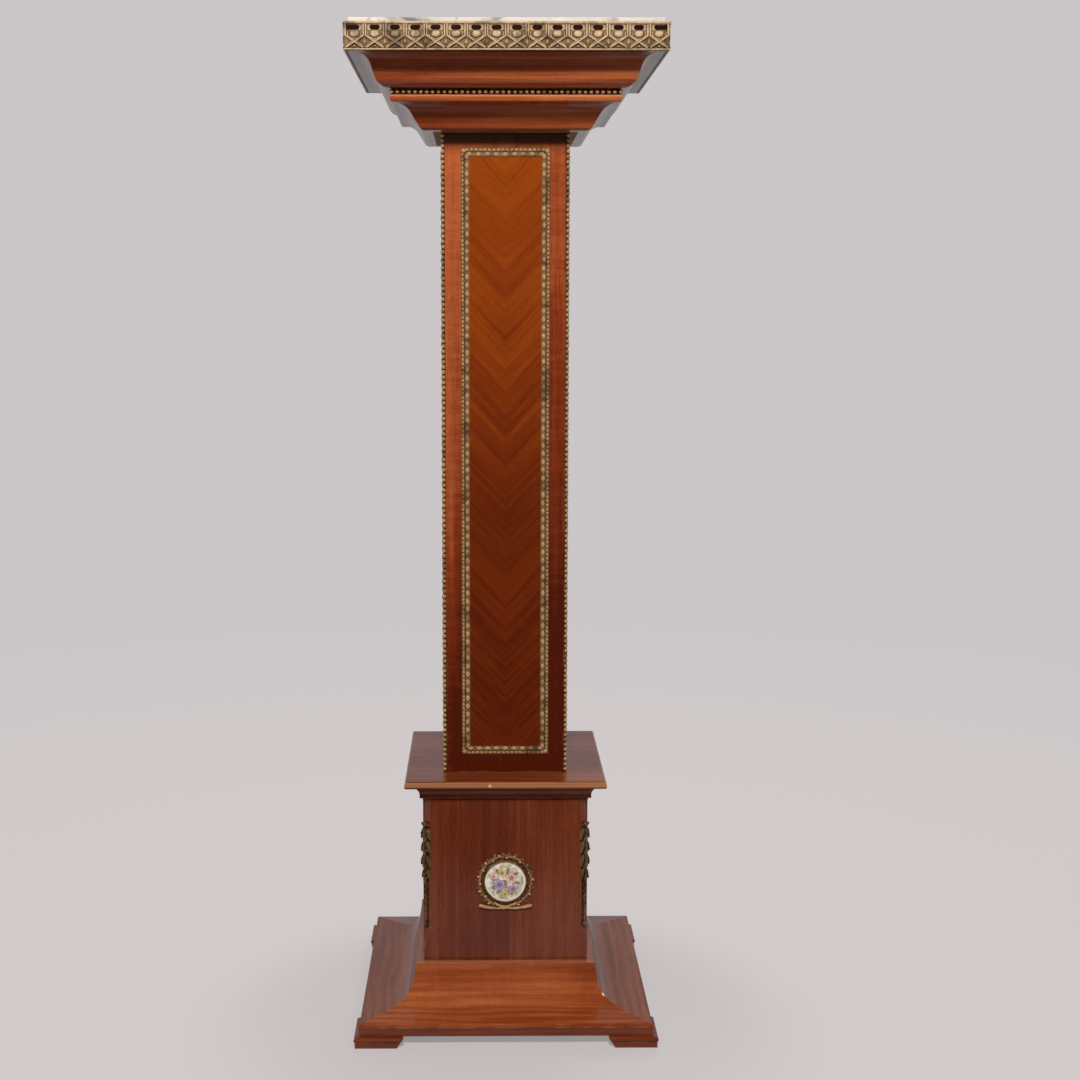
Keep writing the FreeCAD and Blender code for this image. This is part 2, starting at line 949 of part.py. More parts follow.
def draw_gallery_profile(section):
    """Thin plate with a raised rim along its foot and its head."""
    low_rim = gallery_foot + d.gallery_rim_height
    high_rim = gallery_head - d.gallery_rim_height
    outline(
        section,
        [
            (edging_half, gallery_foot),
            (gallery_half, gallery_foot),
            (gallery_half, low_rim),
            (plate_face, low_rim),
            (plate_face, high_rim),
            (gallery_half, high_rim),
            (gallery_half, gallery_head),
            (edging_half, gallery_head),
        ],
    )


def pierce_slot(body, middle):
    """The oblong opening under the upper rim."""
    slot = new_sketch(body, "XZ_Plane", -edging_half)
    head = gallery_head - d.slot_drop
    foot = head - d.slot_height
    near = middle - d.slot_width / 2
    far = middle + d.slot_width / 2
    outline(slot, [(near, foot), (far, foot), (far, head), (near, head)])
    return pocket(body, slot, d.gallery_plate)


def raise_bar(body, middle, lean):
    """One slanting bar of the crossed pair below the opening."""
    bar = new_sketch(body, "XZ_Plane", -plate_face)
    reach = d.lattice_width / 2 * lean
    head = gallery_foot + d.lattice_head
    foot = gallery_foot + d.lattice_foot
    outline(
        bar,
        [
            (middle - reach, head),
            (middle - reach, head - d.lattice_bar),
            (middle + reach, foot),
            (middle + reach, foot + d.lattice_bar),
        ],
    )
    raised = pad(body, bar, d.lattice_relief)
    raised.Reversed = True
    return raised


def make_gallery_band(side, turn):
    """A stamped and pierced band: openings over a lattice, repeated along the side."""
    body = moulding_length(
        f"Gallery_{side}", turn, draw_gallery_profile, edging_half, gallery_half, gallery_head
    )
    first = gallery_pitch / 2 - plate_face
    motif = [pierce_slot(body, first), raise_bar(body, first, 1), raise_bar(body, first, -1)]
    row = body.newObject("PartDesign::LinearPattern", f"{body.Name}_Row")
    row.Originals = motif
    axis = next(p for p in body.Origin.OriginFeatures if p.Role == "X_Axis")
    row.Direction = (axis, [""])
    row.setExpression("Length", (gallery_pitch * (d.gallery_motifs - 1)).text)
    row.setExpression("Occurrences", d.gallery_motifs.text)
    body.Tip = row
    return body


for side, turn in SIDES.items():
    keep(f"gallery_band_{side}", make_gallery_band(side, turn))

slab = block("Slab", slab_half, slab_seat, d.slab_thickness)
slab_top = slab_seat + d.slab_thickness
round_edges(slab, slab.Tip, d.slab_edge_round, level_at(slab_top))
keep("marble_slab", slab)

# ---- mounts on the die ----

chute_head = cove_foot - d.arris_top_gap - d.chute_top_gap
# stations down the mount: share of its length, of its width and of its depth
CHUTE_STATIONS = (
    (0.0, 0.5, 0.5),
    (0.05, 0.93, 0.92),
    (0.18, 0.78, 0.72),
    (0.4, 1.0, 1.0),
    (0.58, 0.7, 0.68),
    (0.68, 0.42, 0.42),
    (0.9, 0.35, 0.34),
    (0.96, 0.55, 0.5),
    (1.0, 0.36, 0.34),
)
# its two steps: share of the width, share of the depth
CHUTE_STEPS = ((1.0, 0.5), (0.5, 1.0))


def make_chute(corner, turn):
    """A cast mount on one chamfer: a bulging head that thins to a hanging stem."""
    body = new_body(f"Chute_{corner}", turn + 45)
    heights = [chute_head - d.chute_length * down for down, _, _ in CHUTE_STATIONS]
    for width_share, depth_share in CHUTE_STEPS:
        halves = [d.chute_width * (width * width_share / 2) for _, width, _ in CHUTE_STATIONS]
        front = new_sketch(body, "YZ_Plane", chamfer_distance)
        left = [(-half, height) for half, height in zip(halves, heights)]
        right = list(zip(halves, heights))
        outline(front, left + right[::-1])
        pad(body, front, d.chute_depth * depth_share)
    # the side view is cut down to the swelling line
    swell = new_sketch(body, "XZ_Plane")
    faces = [chamfer_distance + d.chute_depth * depth for _, _, depth in CHUTE_STATIONS]
    beyond = chamfer_distance + d.chute_depth + MITRE_SPARE
    outline(swell, list(zip(faces, heights)) + [(beyond, heights[-1]), (beyond, heights[0])])
    pocket(body, swell, d.chute_width * 2, both_ways=True)
    return body


for corner, turn in CORNERS.items():
    keep(f"corner_mount_{corner}", make_chute(corner, turn))


def facing_body(name):
    """A body whose own +Z points out of the die's front, at the plaque's middle."""
    body = doc.addObject("PartDesign::Body", name)
    outward = FreeCAD.Rotation(FreeCAD.Vector(1, 0, 0), 90)
    body.Placement = FreeCAD.Placement(FreeCAD.Vector(), outward)
    body.setExpression("Placement.Base.y", (-die_half).text)
    body.setExpression("Placement.Base.z", (base_top + d.plaque_rise).text)
    return body


def spin(body, sketch):
    feature = body.newObject("PartDesign::Revolution", f"{body.Name}_Turned")
    feature.Profile = sketch
    feature.ReferenceAxis = (sketch, ["V_Axis"])
    feature.Angle = 360
    return feature


plaque = facing_body("Plaque")
half_section = new_sketch(plaque, "XZ_Plane")
outline(
    half_section,
    [
        (0, 0),
        (plaque_radius, 0),
        (plaque_radius, d.plaque_rim),
        (0, d.plaque_rim + d.plaque_dome),
    ],
)
spin(plaque, half_section)
keep("plaque", plaque)


bezel_inner = plaque_radius + d.bezel_clearance
bezel_outer = bezel_inner + d.bezel_width
bezel = facing_body("Bezel")
bezel_section = new_sketch(bezel, "XZ_Plane")
outline(
    bezel_section,
    [
        (bezel_inner, 0),
        (bezel_outer, 0),
        (bezel_outer, d.bezel_edge),
        (bezel_inner, d.bezel_depth),
    ],
)
spin(bezel, bezel_section)
keep("plaque_bezel", bezel)

WREATH_LEAVES = 22


def ring_points(radii):
    """Evenly spaced points round the plaque's middle, at the given radii in turn."""
    step = 2 * math.pi / len(radii)
    return [
        (radius * math.cos(step * i), radius * math.sin(step * i))
        for i, radius in enumerate(radii)
    ]


wreath = facing_body("Wreath")
wreath_inner = (bezel_outer + d.bezel_clearance) / math.cos(math.pi / WREATH_LEAVES)
wreath_outer = d.wreath_diameter / 2
leaf_valley = wreath_outer - d.wreath_notch
leaves = new_sketch(wreath, "XY_Plane")
outline(leaves, ring_points([wreath_outer, leaf_valley] * WREATH_LEAVES))
outline(leaves, ring_points([wreath_inner] * WREATH_LEAVES))
pad(wreath, leaves, d.wreath_edge)
ridge = new_sketch(wreath, "XY_Plane")
outline(ridge, ring_points([leaf_valley - d.wreath_ridge_inset] * WREATH_LEAVES))
outline(ridge, ring_points([wreath_inner + d.wreath_ridge_inset] * WREATH_LEAVES))
pad(wreath, ridge, d.wreath_depth)
for sign in (-1, 1):
    stem = new_sketch(wreath, "XY_Plane")
    end = d.stem_span / 2 * sign
    outline(
        stem,
        [
            (d.stem_span * (0.08 * sign), -d.stem_drop),
            (end, -d.stem_drop - d.stem_width * 0.3),
            (end, -d.stem_drop + d.stem_width * 0.7),
            (d.stem_span * (0.08 * sign), -d.stem_drop + d.stem_width),
        ],
    )
    pad(wreath, stem, d.wreath_depth * 0.6)
keep("wreath_mount", wreath)

# ---- screws ----


def make_screw(name, head_face, points_up):
    """A countersunk coach screw on the axis, its head flush with the board it holds."""
    turn = 0 if points_up else 180
    placement = FreeCAD.Placement(
        FreeCAD.Vector(), FreeCAD.Rotation(FreeCAD.Vector(1, 0, 0), turn)
    )
    head = doc.addObject("Part::Cone", f"{name}_Head")
    head.Placement = placement
    bind(
        head,
        Radius1=d.screw_head_diameter / 2,
        Radius2=d.screw_diameter / 2,
        Height=d.screw_head_height,
        Placement_Base_z=head_face,
    )
    shank = doc.addObject("Part::Cylinder", f"{name}_Shank")
    shank.Placement = placement
    bind(
        shank,
        Radius=d.screw_diameter / 2,
        Height=d.screw_length - d.screw_clearance,
        Placement_Base_z=head_face,
    )
    whole = doc.addObject("Part::Fuse", name)
    whole.Base = head
    whole.Tool = shank
    return whole


screws = [
    make_screw("ScrewBase", board_foot, points_up=True),
    make_screw("ScrewFoot", die_top, points_up=True),
    make_screw("ScrewHead", lower_top, points_up=False),
]
group("wood_screws", screws)

# ---- check and write ----

doc.recompute()
for item in doc.Objects:
    if "Invalid" in item.State or "Error" in item.State:
        raise RuntimeError(f"{item.Name} failed: {item.State}")
os.makedirs("parts", exist_ok=True)
for piece in nodes:
    shape = piece.Shape
    if shape.isNull() or not shape.isValid():
        raise RuntimeError(f"{piece.Label} has no valid shape")
    print(piece.Label, len(shape.Solids), "solids", round(shape.Volume), "mm3")
    shape.exportStep(f"parts/{piece.Label}.step")
print(len(nodes), "sub-parts")
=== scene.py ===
import random
from functools import cache
from math import copysign, cos, pi, radians, sin

import bmesh
import bpy
from mathutils import Matrix, Vector


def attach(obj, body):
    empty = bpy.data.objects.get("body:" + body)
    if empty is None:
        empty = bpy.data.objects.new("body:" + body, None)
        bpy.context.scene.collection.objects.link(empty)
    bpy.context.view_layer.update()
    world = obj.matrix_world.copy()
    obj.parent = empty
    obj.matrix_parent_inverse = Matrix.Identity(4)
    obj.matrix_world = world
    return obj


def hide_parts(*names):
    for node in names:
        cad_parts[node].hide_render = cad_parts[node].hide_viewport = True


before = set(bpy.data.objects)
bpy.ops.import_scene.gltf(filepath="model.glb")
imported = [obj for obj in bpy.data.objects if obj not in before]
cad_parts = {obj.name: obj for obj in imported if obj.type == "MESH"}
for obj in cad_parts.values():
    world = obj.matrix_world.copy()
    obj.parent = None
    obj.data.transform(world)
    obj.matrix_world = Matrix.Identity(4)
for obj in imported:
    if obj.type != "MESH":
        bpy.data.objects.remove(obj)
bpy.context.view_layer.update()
mm = 0.001
sharpAngle = radians(48)  # brass edges that bend more than this stay sharp

# front ornament is turned about the column for the other sides, corner ornament for the other arrises
sideTurns = {"front": 0, "right": 90, "back": 180, "left": 270}
cornerTurns = {"front_right": 0, "back_right": 90, "back_left": 180, "front_left": 270}


def pick(sizes, *keys):
    return (sizes[key] for key in keys)


class Nodes:
    # a node tree, with short ways to add and join its nodes
    def __init__(self, tree):
        self.tree = tree
        tree.nodes.clear()

    def add(self, kind, sockets=None, **settings):
        node = self.tree.nodes.new("ShaderNode" + kind)
        for key, value in settings.items():
            setattr(node, key, value)
        for socket, value in (sockets or {}).items():
            self.feed(node.inputs[socket], value)
        return node

    def feed(self, socket, value):
        if isinstance(value, bpy.types.NodeSocket):
            self.tree.links.new(value, socket)
        else:
            socket.default_value = value

    def maths(self, operation, *values):
        return self.add("Math", dict(enumerate(values)), operation=operation).outputs[0]

    def times(self, first, second):
        return self.maths("MULTIPLY", first, second)

    def timesPlus(self, first, second, third):
        return self.maths("MULTIPLY_ADD", first, second, third)

    def larger(self, first, second):
        return self.maths("MAXIMUM", first, second)

    def measure(self, operation, *vectors):
        # one number worked out from one or two vectors
        node = self.add("VectorMath", dict(enumerate(vectors)), operation=operation)
        return node.outputs["Value"]

    def split(self, vector):
        return self.add("SeparateXYZ", {0: vector}).outputs

    def gather(self, x, y, z):
        return self.add("CombineXYZ", {0: x, 1: y, 2: z}).outputs[0]

    def stretch(self, vector, scale, shift=(0, 0, 0)):
        return self.add("Mapping", {"Vector": vector, "Scale": scale, "Location": shift}).outputs[0]

    def spread(self, value, low, high, toLow=0.0, toHigh=1.0):
        sockets = dict(enumerate((value, low, high, toLow, toHigh)))
        return self.add("MapRange", sockets, interpolation_type="SMOOTHSTEP").outputs[0]

    def shades(self, amount, *stops):
        node = self.add("ValToRGB", {0: amount})
        edges = node.color_ramp.elements
        while len(edges) < len(stops):
            edges.new(0.5)
        for edge, (position, colour) in zip(edges, stops):
            edge.position = position
            edge.color = (*colour, 1.0)
        return node.outputs["Color"]

    def blend(self, amount, *colours):
        first, second = (c if isinstance(c, bpy.types.NodeSocket) else (*c, 1.0) for c in colours)
        return self.add("Mix", {0: amount, 6: first, 7: second}, data_type="RGBA").outputs[2]


class Finish(Nodes):
    # one material in the making, placed by its object's own coordinates
    def __init__(self, name, **surface):
        self.material = bpy.data.materials.new(name)
        self.material.use_nodes = True
        super().__init__(self.material.node_tree)
        self.shader = self.add("BsdfPrincipled",
                               {socket.replace("_", " "): value for socket, value in surface.items()})
        self.output = self.add("OutputMaterial", {"Surface": self.shader.outputs["BSDF"]})
        self.place = self.add("TexCoord").outputs["Object"]

    def noise(self, scale, detail, roughness=0.5, distortion=0.0, place=None):
        # at the object's own place unless another is given; scale is one number, or three to stretch it
        place = place or self.place
        if isinstance(scale, tuple):
            place, scale = self.stretch(place, scale), 1.0
        sockets = {"Vector": place, "Scale": scale, "Detail": detail, "Roughness": roughness,
                   "Distortion": distortion}
        return self.add("TexNoise", sockets).outputs["Fac"]

    def relief(self, height, depth, strength, under=None):
        node = self.add("Bump", {"Height": height, "Distance": depth, "Strength": strength})
        if under is not None:
            self.feed(node.inputs["Normal"], under)
        return node.outputs[0]

    def soften(self, radius):
        # the worn round that every hard arris has
        return self.add("Bevel", {"Radius": radius}, samples=4).outputs[0]

    def arrisWear(self, radius):
        # 1 along outer and inner edges, 0 on the flats
        flat = self.add("NewGeometry").outputs["Normal"]
        return self.spread(self.measure("DOT_PRODUCT", self.soften(radius), flat), 0.99, 0.86)

    def made(self, colour, roughness, normal):
        for socket, value in (("Base Color", colour), ("Roughness", roughness), ("Normal", normal)):
            self.feed(self.shader.inputs[socket], value)
        return self.material


# each veneer: its dark, middle and light tone, in linear colour, and how strong stripe, flame, curl and
# pores are in its figure
veneers = {
    "base": {
        "tones": ((0.066, 0.0080, 0.0014), (0.250, 0.049, 0.0110), (0.470, 0.140, 0.048)),
        "figure": (0.45, 0.55, 0.15, 0.3),
        "chip": (0.1165, -0.1165, 0.0395, 0.0050),  # place and size of a knock on the right front mitre
        "rubsAndHighlights": ((0.0734, 0.0746, 0.8),),  # heights of a thin lighter band, painted highlight with some rubbed polish, and how much
    },
    "shadedFlank": {  # the base's sides and back: a darker copy of the base's veneer, painted shade on the faces turned from the light
        "tones": ((0.045, 0.0065, 0.0015), (0.150, 0.0310, 0.0085), (0.290, 0.085, 0.030)),
        "figure": (0.45, 0.45, 0.15, 0.3),
        "rubsAndHighlights": ((0.0734, 0.0746, 0.5),),
    },
    "die": {
        "tones": ((0.042, 0.0065, 0.0018), (0.122, 0.0210, 0.0062), (0.225, 0.056, 0.020)),
        "figure": (0.62, 0.1, 0.15, 0.5),
    },
    "cap": {
        "tones": ((0.045, 0.0070, 0.0020), (0.145, 0.026, 0.0070), (0.300, 0.080, 0.027)),
        "figure": (0.6, 0.25, 0.15, 0.4),
        "chip": (-0.0180, -0.1175, 0.2925, 0.0030),
        "rubsAndHighlights": ((0.2905, 0.2968, 0.55),),
    },
    "fascia": {
        "tones": ((0.090, 0.0130, 0.0025), (0.300, 0.0560, 0.0130), (0.520, 0.160, 0.055)),
        "figure": (0.5, 0.2, 0.15, 0.4),
        "rubsAndHighlights": ((1.0722, 1.0754, 0.45),),
    },
    "shaft": {
        "tones": ((0.068, 0.0068, 0.0010), (0.192, 0.0275, 0.0046), (0.400, 0.092, 0.026)),
        "figure": (0.60, 0.15, 0.5, 0.5), "lightAndFade": 0.90,
        "lean": -2.6,  # darker towards +X
        "capitalShadow": (1.012, 1.036, 0.85),  # heights over which a painted shadow of the capital darkens the shaft's top, and how much
    },
    "moulding": {
        "tones": ((0.065, 0.0092, 0.0022), (0.262, 0.0450, 0.0110), (0.520, 0.140, 0.043)),
        "figure": (0.8, 0.25, 0.1, 0.4),
    },
    "chevron": {
        "tones": ((0.070, 0.0070, 0.0003), (0.165, 0.0225, 0.0005), (0.280, 0.050, 0.0016)),
        "figure": (0.7, 0.1, 0.1, 0.35), "lightAndFade": 0.74,
    },
    # near black and unpolished: painted shade seen through the gallery's slots and under its band
    "shadowEdging": {
        "tones": ((0.006, 0.003, 0.002), (0.014, 0.006, 0.004), (0.035, 0.014, 0.008)),
        "figure": (0.6, 0.1, 0.1, 0.4),
        "polish": 0.0,
    },
}
wood = {
    "lightAndFadeMiddle": 0.70,  # a veneer grows lighter upwards, about this height and over this span: painted light from above, with some sun fading
    "lightAndFadeSpan": 0.80,
    "chevronAngle": 47.0,
    # how each layer of the figure is stretched, with the grain along the last number
    "drift": (9, 9, 3), "ribbon": (130, 130, 2.2), "fibre": (900, 900, 26),
    "curl": (34, 34, 170), "flame": (1, 0.4, 0.16), "pore": (1900, 1900, 120),
    "wornWidth": 0.0016,
    "softness": 0.0007,
    "relief": 0.00006,
    "bandEdge": 0.001,
    # colour of rubbed arrises, also used for the painted highlight bands
    "wornEdgeAndHighlight": (0.50, 0.24, 0.115),
    "rawWood": (0.72, 0.50, 0.30),
    # colour of the painted shadow under the capital
    "capitalShadowColour": (0.012, 0.004, 0.002),
}


def grainPlace(finish, run):
    # place in the wood, with the grain along the last coordinate
    x, y, z = finish.split(finish.place)
    straight = {"x": (y, z, x), "y": (x, z, y), "z": (x, y, z)}
    if run in straight:
        return finish.gather(*straight[run])
    # chevrons, book-matched at the middle: the V points down
    angle = radians(wood["chevronAngle"])
    out, depth = (x, y) if run == "chevronX" else (y, x)
    out = finish.maths("ABSOLUTE", out)
    along = finish.timesPlus(out, cos(angle), finish.times(z, sin(angle)))
    across = finish.timesPlus(out, -sin(angle), finish.times(z, cos(angle)))
    return finish.gather(across, depth, along)


@cache
def polishedWood(kind, run):
    look = veneers[kind]
    dark, middle, light = look["tones"]
    stripes, flames, curls, pores = look["figure"]
    finish = Finish(f"wood_{kind}_{run}", Coat_Weight=look.get("polish", 0.8), Coat_Roughness=0.08,
                    Coat_IOR=1.45, Specular_IOR_Level=0.1)
    across, _, height = finish.split(finish.place)
    place = grainPlace(finish, run)
    drift = finish.noise(wood["drift"], 3, place=place)
    ribbon = finish.noise(wood["ribbon"], 3, 0.6, place=place)
    fibre = finish.noise(wood["fibre"], 4, 0.65, place=place)
    curl = finish.noise(wood["curl"], 2, 0.5, 0.6, place=place)
    sockets = {"Vector": finish.stretch(place, wood["flame"]), "Scale": 26, "Distortion": 9, "Detail": 2.5,
               "Detail Scale": 1.1}
    flame = finish.add("TexWave", sockets).outputs["Fac"]
    # the tone is a weighted sum about 0.5
    tone = 0.5
    layers = ((drift, 0.9), (ribbon, stripes), (fibre, 0.42), (flame, flames * 0.32), (curl, curls * 0.7))
    for layer, weight in layers:
        tone = finish.timesPlus(finish.maths("SUBTRACT", layer, 0.5), weight, tone)
    # lighter upwards: painted light from above, with some sun fading
    if "lightAndFade" in look:
        lift = finish.maths("DIVIDE", finish.maths("SUBTRACT", height, wood["lightAndFadeMiddle"]), wood["lightAndFadeSpan"])
        tone = finish.timesPlus(lift, look["lightAndFade"], tone)
    if "lean" in look:
        tone = finish.timesPlus(across, look["lean"], tone)
    shade = finish.shades(tone, (0.1, dark), (0.5, middle), (0.92, light))
    # open pores, short and dark along the grain
    pore = finish.spread(finish.noise(wood["pore"], 1, place=place), 0.60, 0.72)
    shade = finish.blend(finish.times(pore, pores), shade, tuple(c * 0.35 for c in dark))
    # arrises rubbed light in patches
    patches = finish.spread(finish.noise(60, 4), 0.42, 0.66)
    wear = finish.times(finish.arrisWear(wood["wornWidth"]), patches)
    shade = finish.blend(finish.times(wear, 0.55), shade, wood["wornEdgeAndHighlight"])
    if "chip" in look:
        *spot, size = look["chip"]
        ragged = finish.noise(260, 3)
        gap = finish.timesPlus(ragged, size, finish.measure("DISTANCE", finish.place, spot))
        shade = finish.blend(finish.spread(gap, size * 1.15, size * 0.95), shade, wood["rawWood"])
    # painted shadow of the capital, cast on the shaft's top
    if "capitalShadow" in look:
        low, high, strength = look["capitalShadow"]
        shade = finish.blend(finish.spread(height, low, high, 0.0, strength), shade, wood["capitalShadowColour"])
    # thin lighter bands: painted highlight where a moulding's nose catches the light, with some rubbed polish
    for low, high, strength in look.get("rubsAndHighlights", ()):
        foot = finish.spread(height, low, low + wood["bandEdge"])
        band = finish.times(foot, finish.spread(height, high, high - wood["bandEdge"]))
        uneven = finish.spread(ribbon, 0.30, 0.55, strength * 0.5, strength)
        shade = finish.blend(finish.times(band, uneven), shade, wood["wornEdgeAndHighlight"])
    smear = finish.timesPlus(finish.noise(14, 3), 0.22, finish.timesPlus(wear, 0.2, 0.2))
    grain = finish.timesPlus(pore, -0.6, fibre)
    normal = finish.relief(grain, wood["relief"], 0.6, finish.soften(wood["softness"]))
    return finish.made(shade, smear, normal)


def plainTimber():
    # unpolished carcase wood, inside
    finish = Finish("plain_timber")
    fibre = finish.noise((500, 500, 14), 4)
    rings = finish.noise((70, 70, 2), 2)
    tone = finish.timesPlus(fibre, 0.4, finish.times(rings, 0.6))
    shade = finish.shades(tone, (0.3, (0.30, 0.18, 0.08)), (0.7, (0.62, 0.45, 0.25)))
    return finish.made(shade, 0.8, finish.relief(fibre, 0.0002, 0.5))


marbleLook = {
    "body": (0.72, 0.61, 0.52),
    "cloud": (0.58, 0.50, 0.43),
    "vein": (0.13, 0.115, 0.12),
    "speck": (0.45, 0.40, 0.36),
    "veinWidth": 0.024,
    "veins": ((4.2, 0.95, 1.7), (9.5, 0.5, 5.1)),  # scale, strength, shift of each set
}


def veinedMarble():
    finish = Finish("veined_marble", Coat_Weight=0.4, Coat_Roughness=0.12, IOR=1.5)
    clouds = finish.noise(11, 6, 0.6, 0.8)
    shade = finish.shades(clouds, (0.38, marbleLook["cloud"]), (0.6, marbleLook["body"]))
    for scale, strength, shift in marbleLook["veins"]:
        # a vein is where a warped noise crosses its middle value
        place = finish.stretch(finish.place, (1, 1, 0.6), (shift, shift, shift))
        field = finish.noise(scale, 5, 0.55, 1.3, place=place)
        gap = finish.maths("ABSOLUTE", finish.maths("SUBTRACT", field, 0.5))
        vein = finish.spread(gap, marbleLook["veinWidth"], 0.0)
        patch = finish.spread(finish.noise(scale * 1.7, 2), 0.40, 0.55)
        vein = finish.times(finish.times(vein, patch), strength)
        shade = finish.blend(vein, shade, marbleLook["vein"])
    speck = finish.spread(finish.noise(420, 3, 0.7), 0.62, 0.75)
    shade = finish.blend(finish.times(speck, 0.25), shade, marbleLook["speck"])
    normal = finish.relief(finish.noise(260, 3), 0.00005, 0.5, finish.soften(0.0008))
    return finish.made(shade, finish.timesPlus(clouds, 0.2, 0.16), normal)


# each brass: bright, body and patina tones, reach of the dirt, roughness, amount of dirt, metallic
metals = {
    "gallery": ((0.98, 0.72, 0.45), (0.44, 0.245, 0.108), (0.028, 0.012, 0.004), 0.0046, 0.32, 0.55, 0.5),
    "gilt": ((0.80, 0.48, 0.22), (0.33, 0.152, 0.052), (0.032, 0.013, 0.004), 0.0030, 0.34, 0.55, 0.55),
    "dusky": ((0.55, 0.32, 0.145), (0.20, 0.098, 0.038), (0.020, 0.009, 0.003), 0.0028, 0.38, 0.5, 0.6),
    "antique": ((0.30, 0.165, 0.070), (0.045, 0.021, 0.008), (0.008, 0.0035, 0.0015), 0.0036, 0.36, 0.5, 0.7),
    "ground": ((0.16, 0.082, 0.032), (0.055, 0.026, 0.009), (0.012, 0.005, 0.002), 0.0026, 0.55, 0.5, 0.5),
}


def agedBrass(kind):
    bright, body, patina, reach, roughness, dirt, metallic = metals[kind]
    finish = Finish(f"brass_{kind}", Metallic=metallic)
    # dirt sits where the air cannot reach, rubbing shines the tops
    air = finish.add("AmbientOcclusion", {"Distance": reach}, samples=6).outputs["AO"]
    mottle = finish.noise(190, 4, 0.65)
    cleaned = finish.timesPlus(mottle, 0.5, finish.maths("SUBTRACT", air, 0.30))
    shade = finish.shades(cleaned, (0.34, patina), (0.68, body), (0.98, bright))
    spots = finish.spread(finish.noise(60, 3), 0.48, 0.68)
    shade = finish.blend(finish.times(spots, dirt), shade, patina)
    grain = finish.noise(900, 3, 0.6)
    return finish.made(shade, finish.timesPlus(mottle, 0.3, roughness - 0.12),
                       finish.relief(grain, 0.00008, 0.5, finish.soften(0.0003)))


def screwSteel():
    finish = Finish("screw_steel", Metallic=1.0)
    turn = finish.noise((90, 90, 1400), 3)
    shade = finish.shades(turn, (0.3, (0.26, 0.25, 0.24)), (0.7, (0.52, 0.51, 0.50)))
    return finish.made(shade, finish.timesPlus(turn, 0.3, 0.25), finish.relief(turn, 0.0001, 0.4))


galleryBrass = agedBrass("gallery")
giltBrass = agedBrass("gilt")  # rubbed tops of the stamped strips
duskyBrass = agedBrass("dusky")
antiqueBrass = agedBrass("antique")
groundBrass = agedBrass("ground")  # the strips' sunk plates
print("finishes made")


def dress(material, *nodes):
    # a finish on the joiner's pieces
    for node in nodes:
        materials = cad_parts[node].data.materials
        materials.clear()
        materials.append(material)


for side in sideTurns:
    level = "x" if side in ("front", "back") else "y"
    # the base's sides and back take the darker copy of its veneer: painted shade
    dress(polishedWood("base" if side == "front" else "shadedFlank", level), f"base_cove_{side}")
    dress(polishedWood("die", "z"), f"die_panel_{side}")
    dress(polishedWood("shaft", "z"), f"shaft_board_{side}")
    dress(polishedWood("chevron", f"chevron{level.upper()}"), f"chevron_panel_{side}")
    dress(polishedWood("moulding", level), f"lower_crown_{side}", f"upper_crown_{side}")
dress(polishedWood("fascia", "x"), "middle_board")
dress(polishedWood("cap", "x"), "base_board", "cap_board", "cap_cove", "top_board",
      *[f"foot_{corner}" for corner in cornerTurns])
# the edging is painted near black, as shade behind the gallery
dress(polishedWood("shadowEdging", "x"), "top_edging")
dress(plainTimber(), "base_core", "die_glue_blocks", "shaft_foot_joiner", "shaft_head_joiner",
      "capital_lower_core", "capital_upper_core")
dress(screwSteel(), "wood_screws")
dress(veinedMarble(), "marble_slab")
print("joiner's pieces finished")

# brass forms are lists of points and faces in millimetres: x across, y up the face, z out of the wood


def polar(radius, turn, out=0.0):
    return Vector((radius * cos(turn), radius * sin(turn), out))


def domeForm(halfAcross, halfUp, height, rings=3, around=10, square=1.0):
    # half a flattened ball, squarer in plan where square is under 1
    points = [Vector((0, 0, height))]
    for ring in range(1, rings + 1):
        turn = ring / rings * pi / 2
        for step in range(around):
            angle = 2 * pi * step / around
            x, y = (copysign(abs(part) ** square, part) for part in (cos(angle), sin(angle)))
            points.append(Vector((halfAcross * sin(turn) * x, halfUp * sin(turn) * y, height * cos(turn))))
    faces = [(0, 1 + step, 1 + (step + 1) % around) for step in range(around)]
    for ring in range(rings - 1):
        start = 1 + ring * around
        for step in range(around):
            after = (step + 1) % around
            faces.append((start + step, start + around + step, start + around + after, start + after))
    last = 1 + (rings - 1) * around
    faces.append(tuple(reversed(range(last, last + around))))
    return points, faces


def beadForm(radius, halfUp, centre, rings=6, around=10):
    # a whole bead, its middle at height centre over the face
    points, faces = [Vector((0, 0, centre + radius))], []
    for ring in range(1, rings):
        turn = ring / rings * pi
        for step in range(around):
            x, y, _ = polar(sin(turn), 2 * pi * step / around)
            points.append(Vector((radius * x, halfUp * y, centre + radius * cos(turn))))
    points.append(Vector((0, 0, centre - radius)))
    foot = len(points) - 1
    for step in range(around):
        after = (step + 1) % around
        faces.append((0, 1 + step, 1 + after))
        faces.append((foot, foot - around + after, foot - around + step))
        for ring in range(rings - 2):
            start = 1 + ring * around
            faces.append((start + step, start + around + step, start + around + after, start + after))
    return points, faces


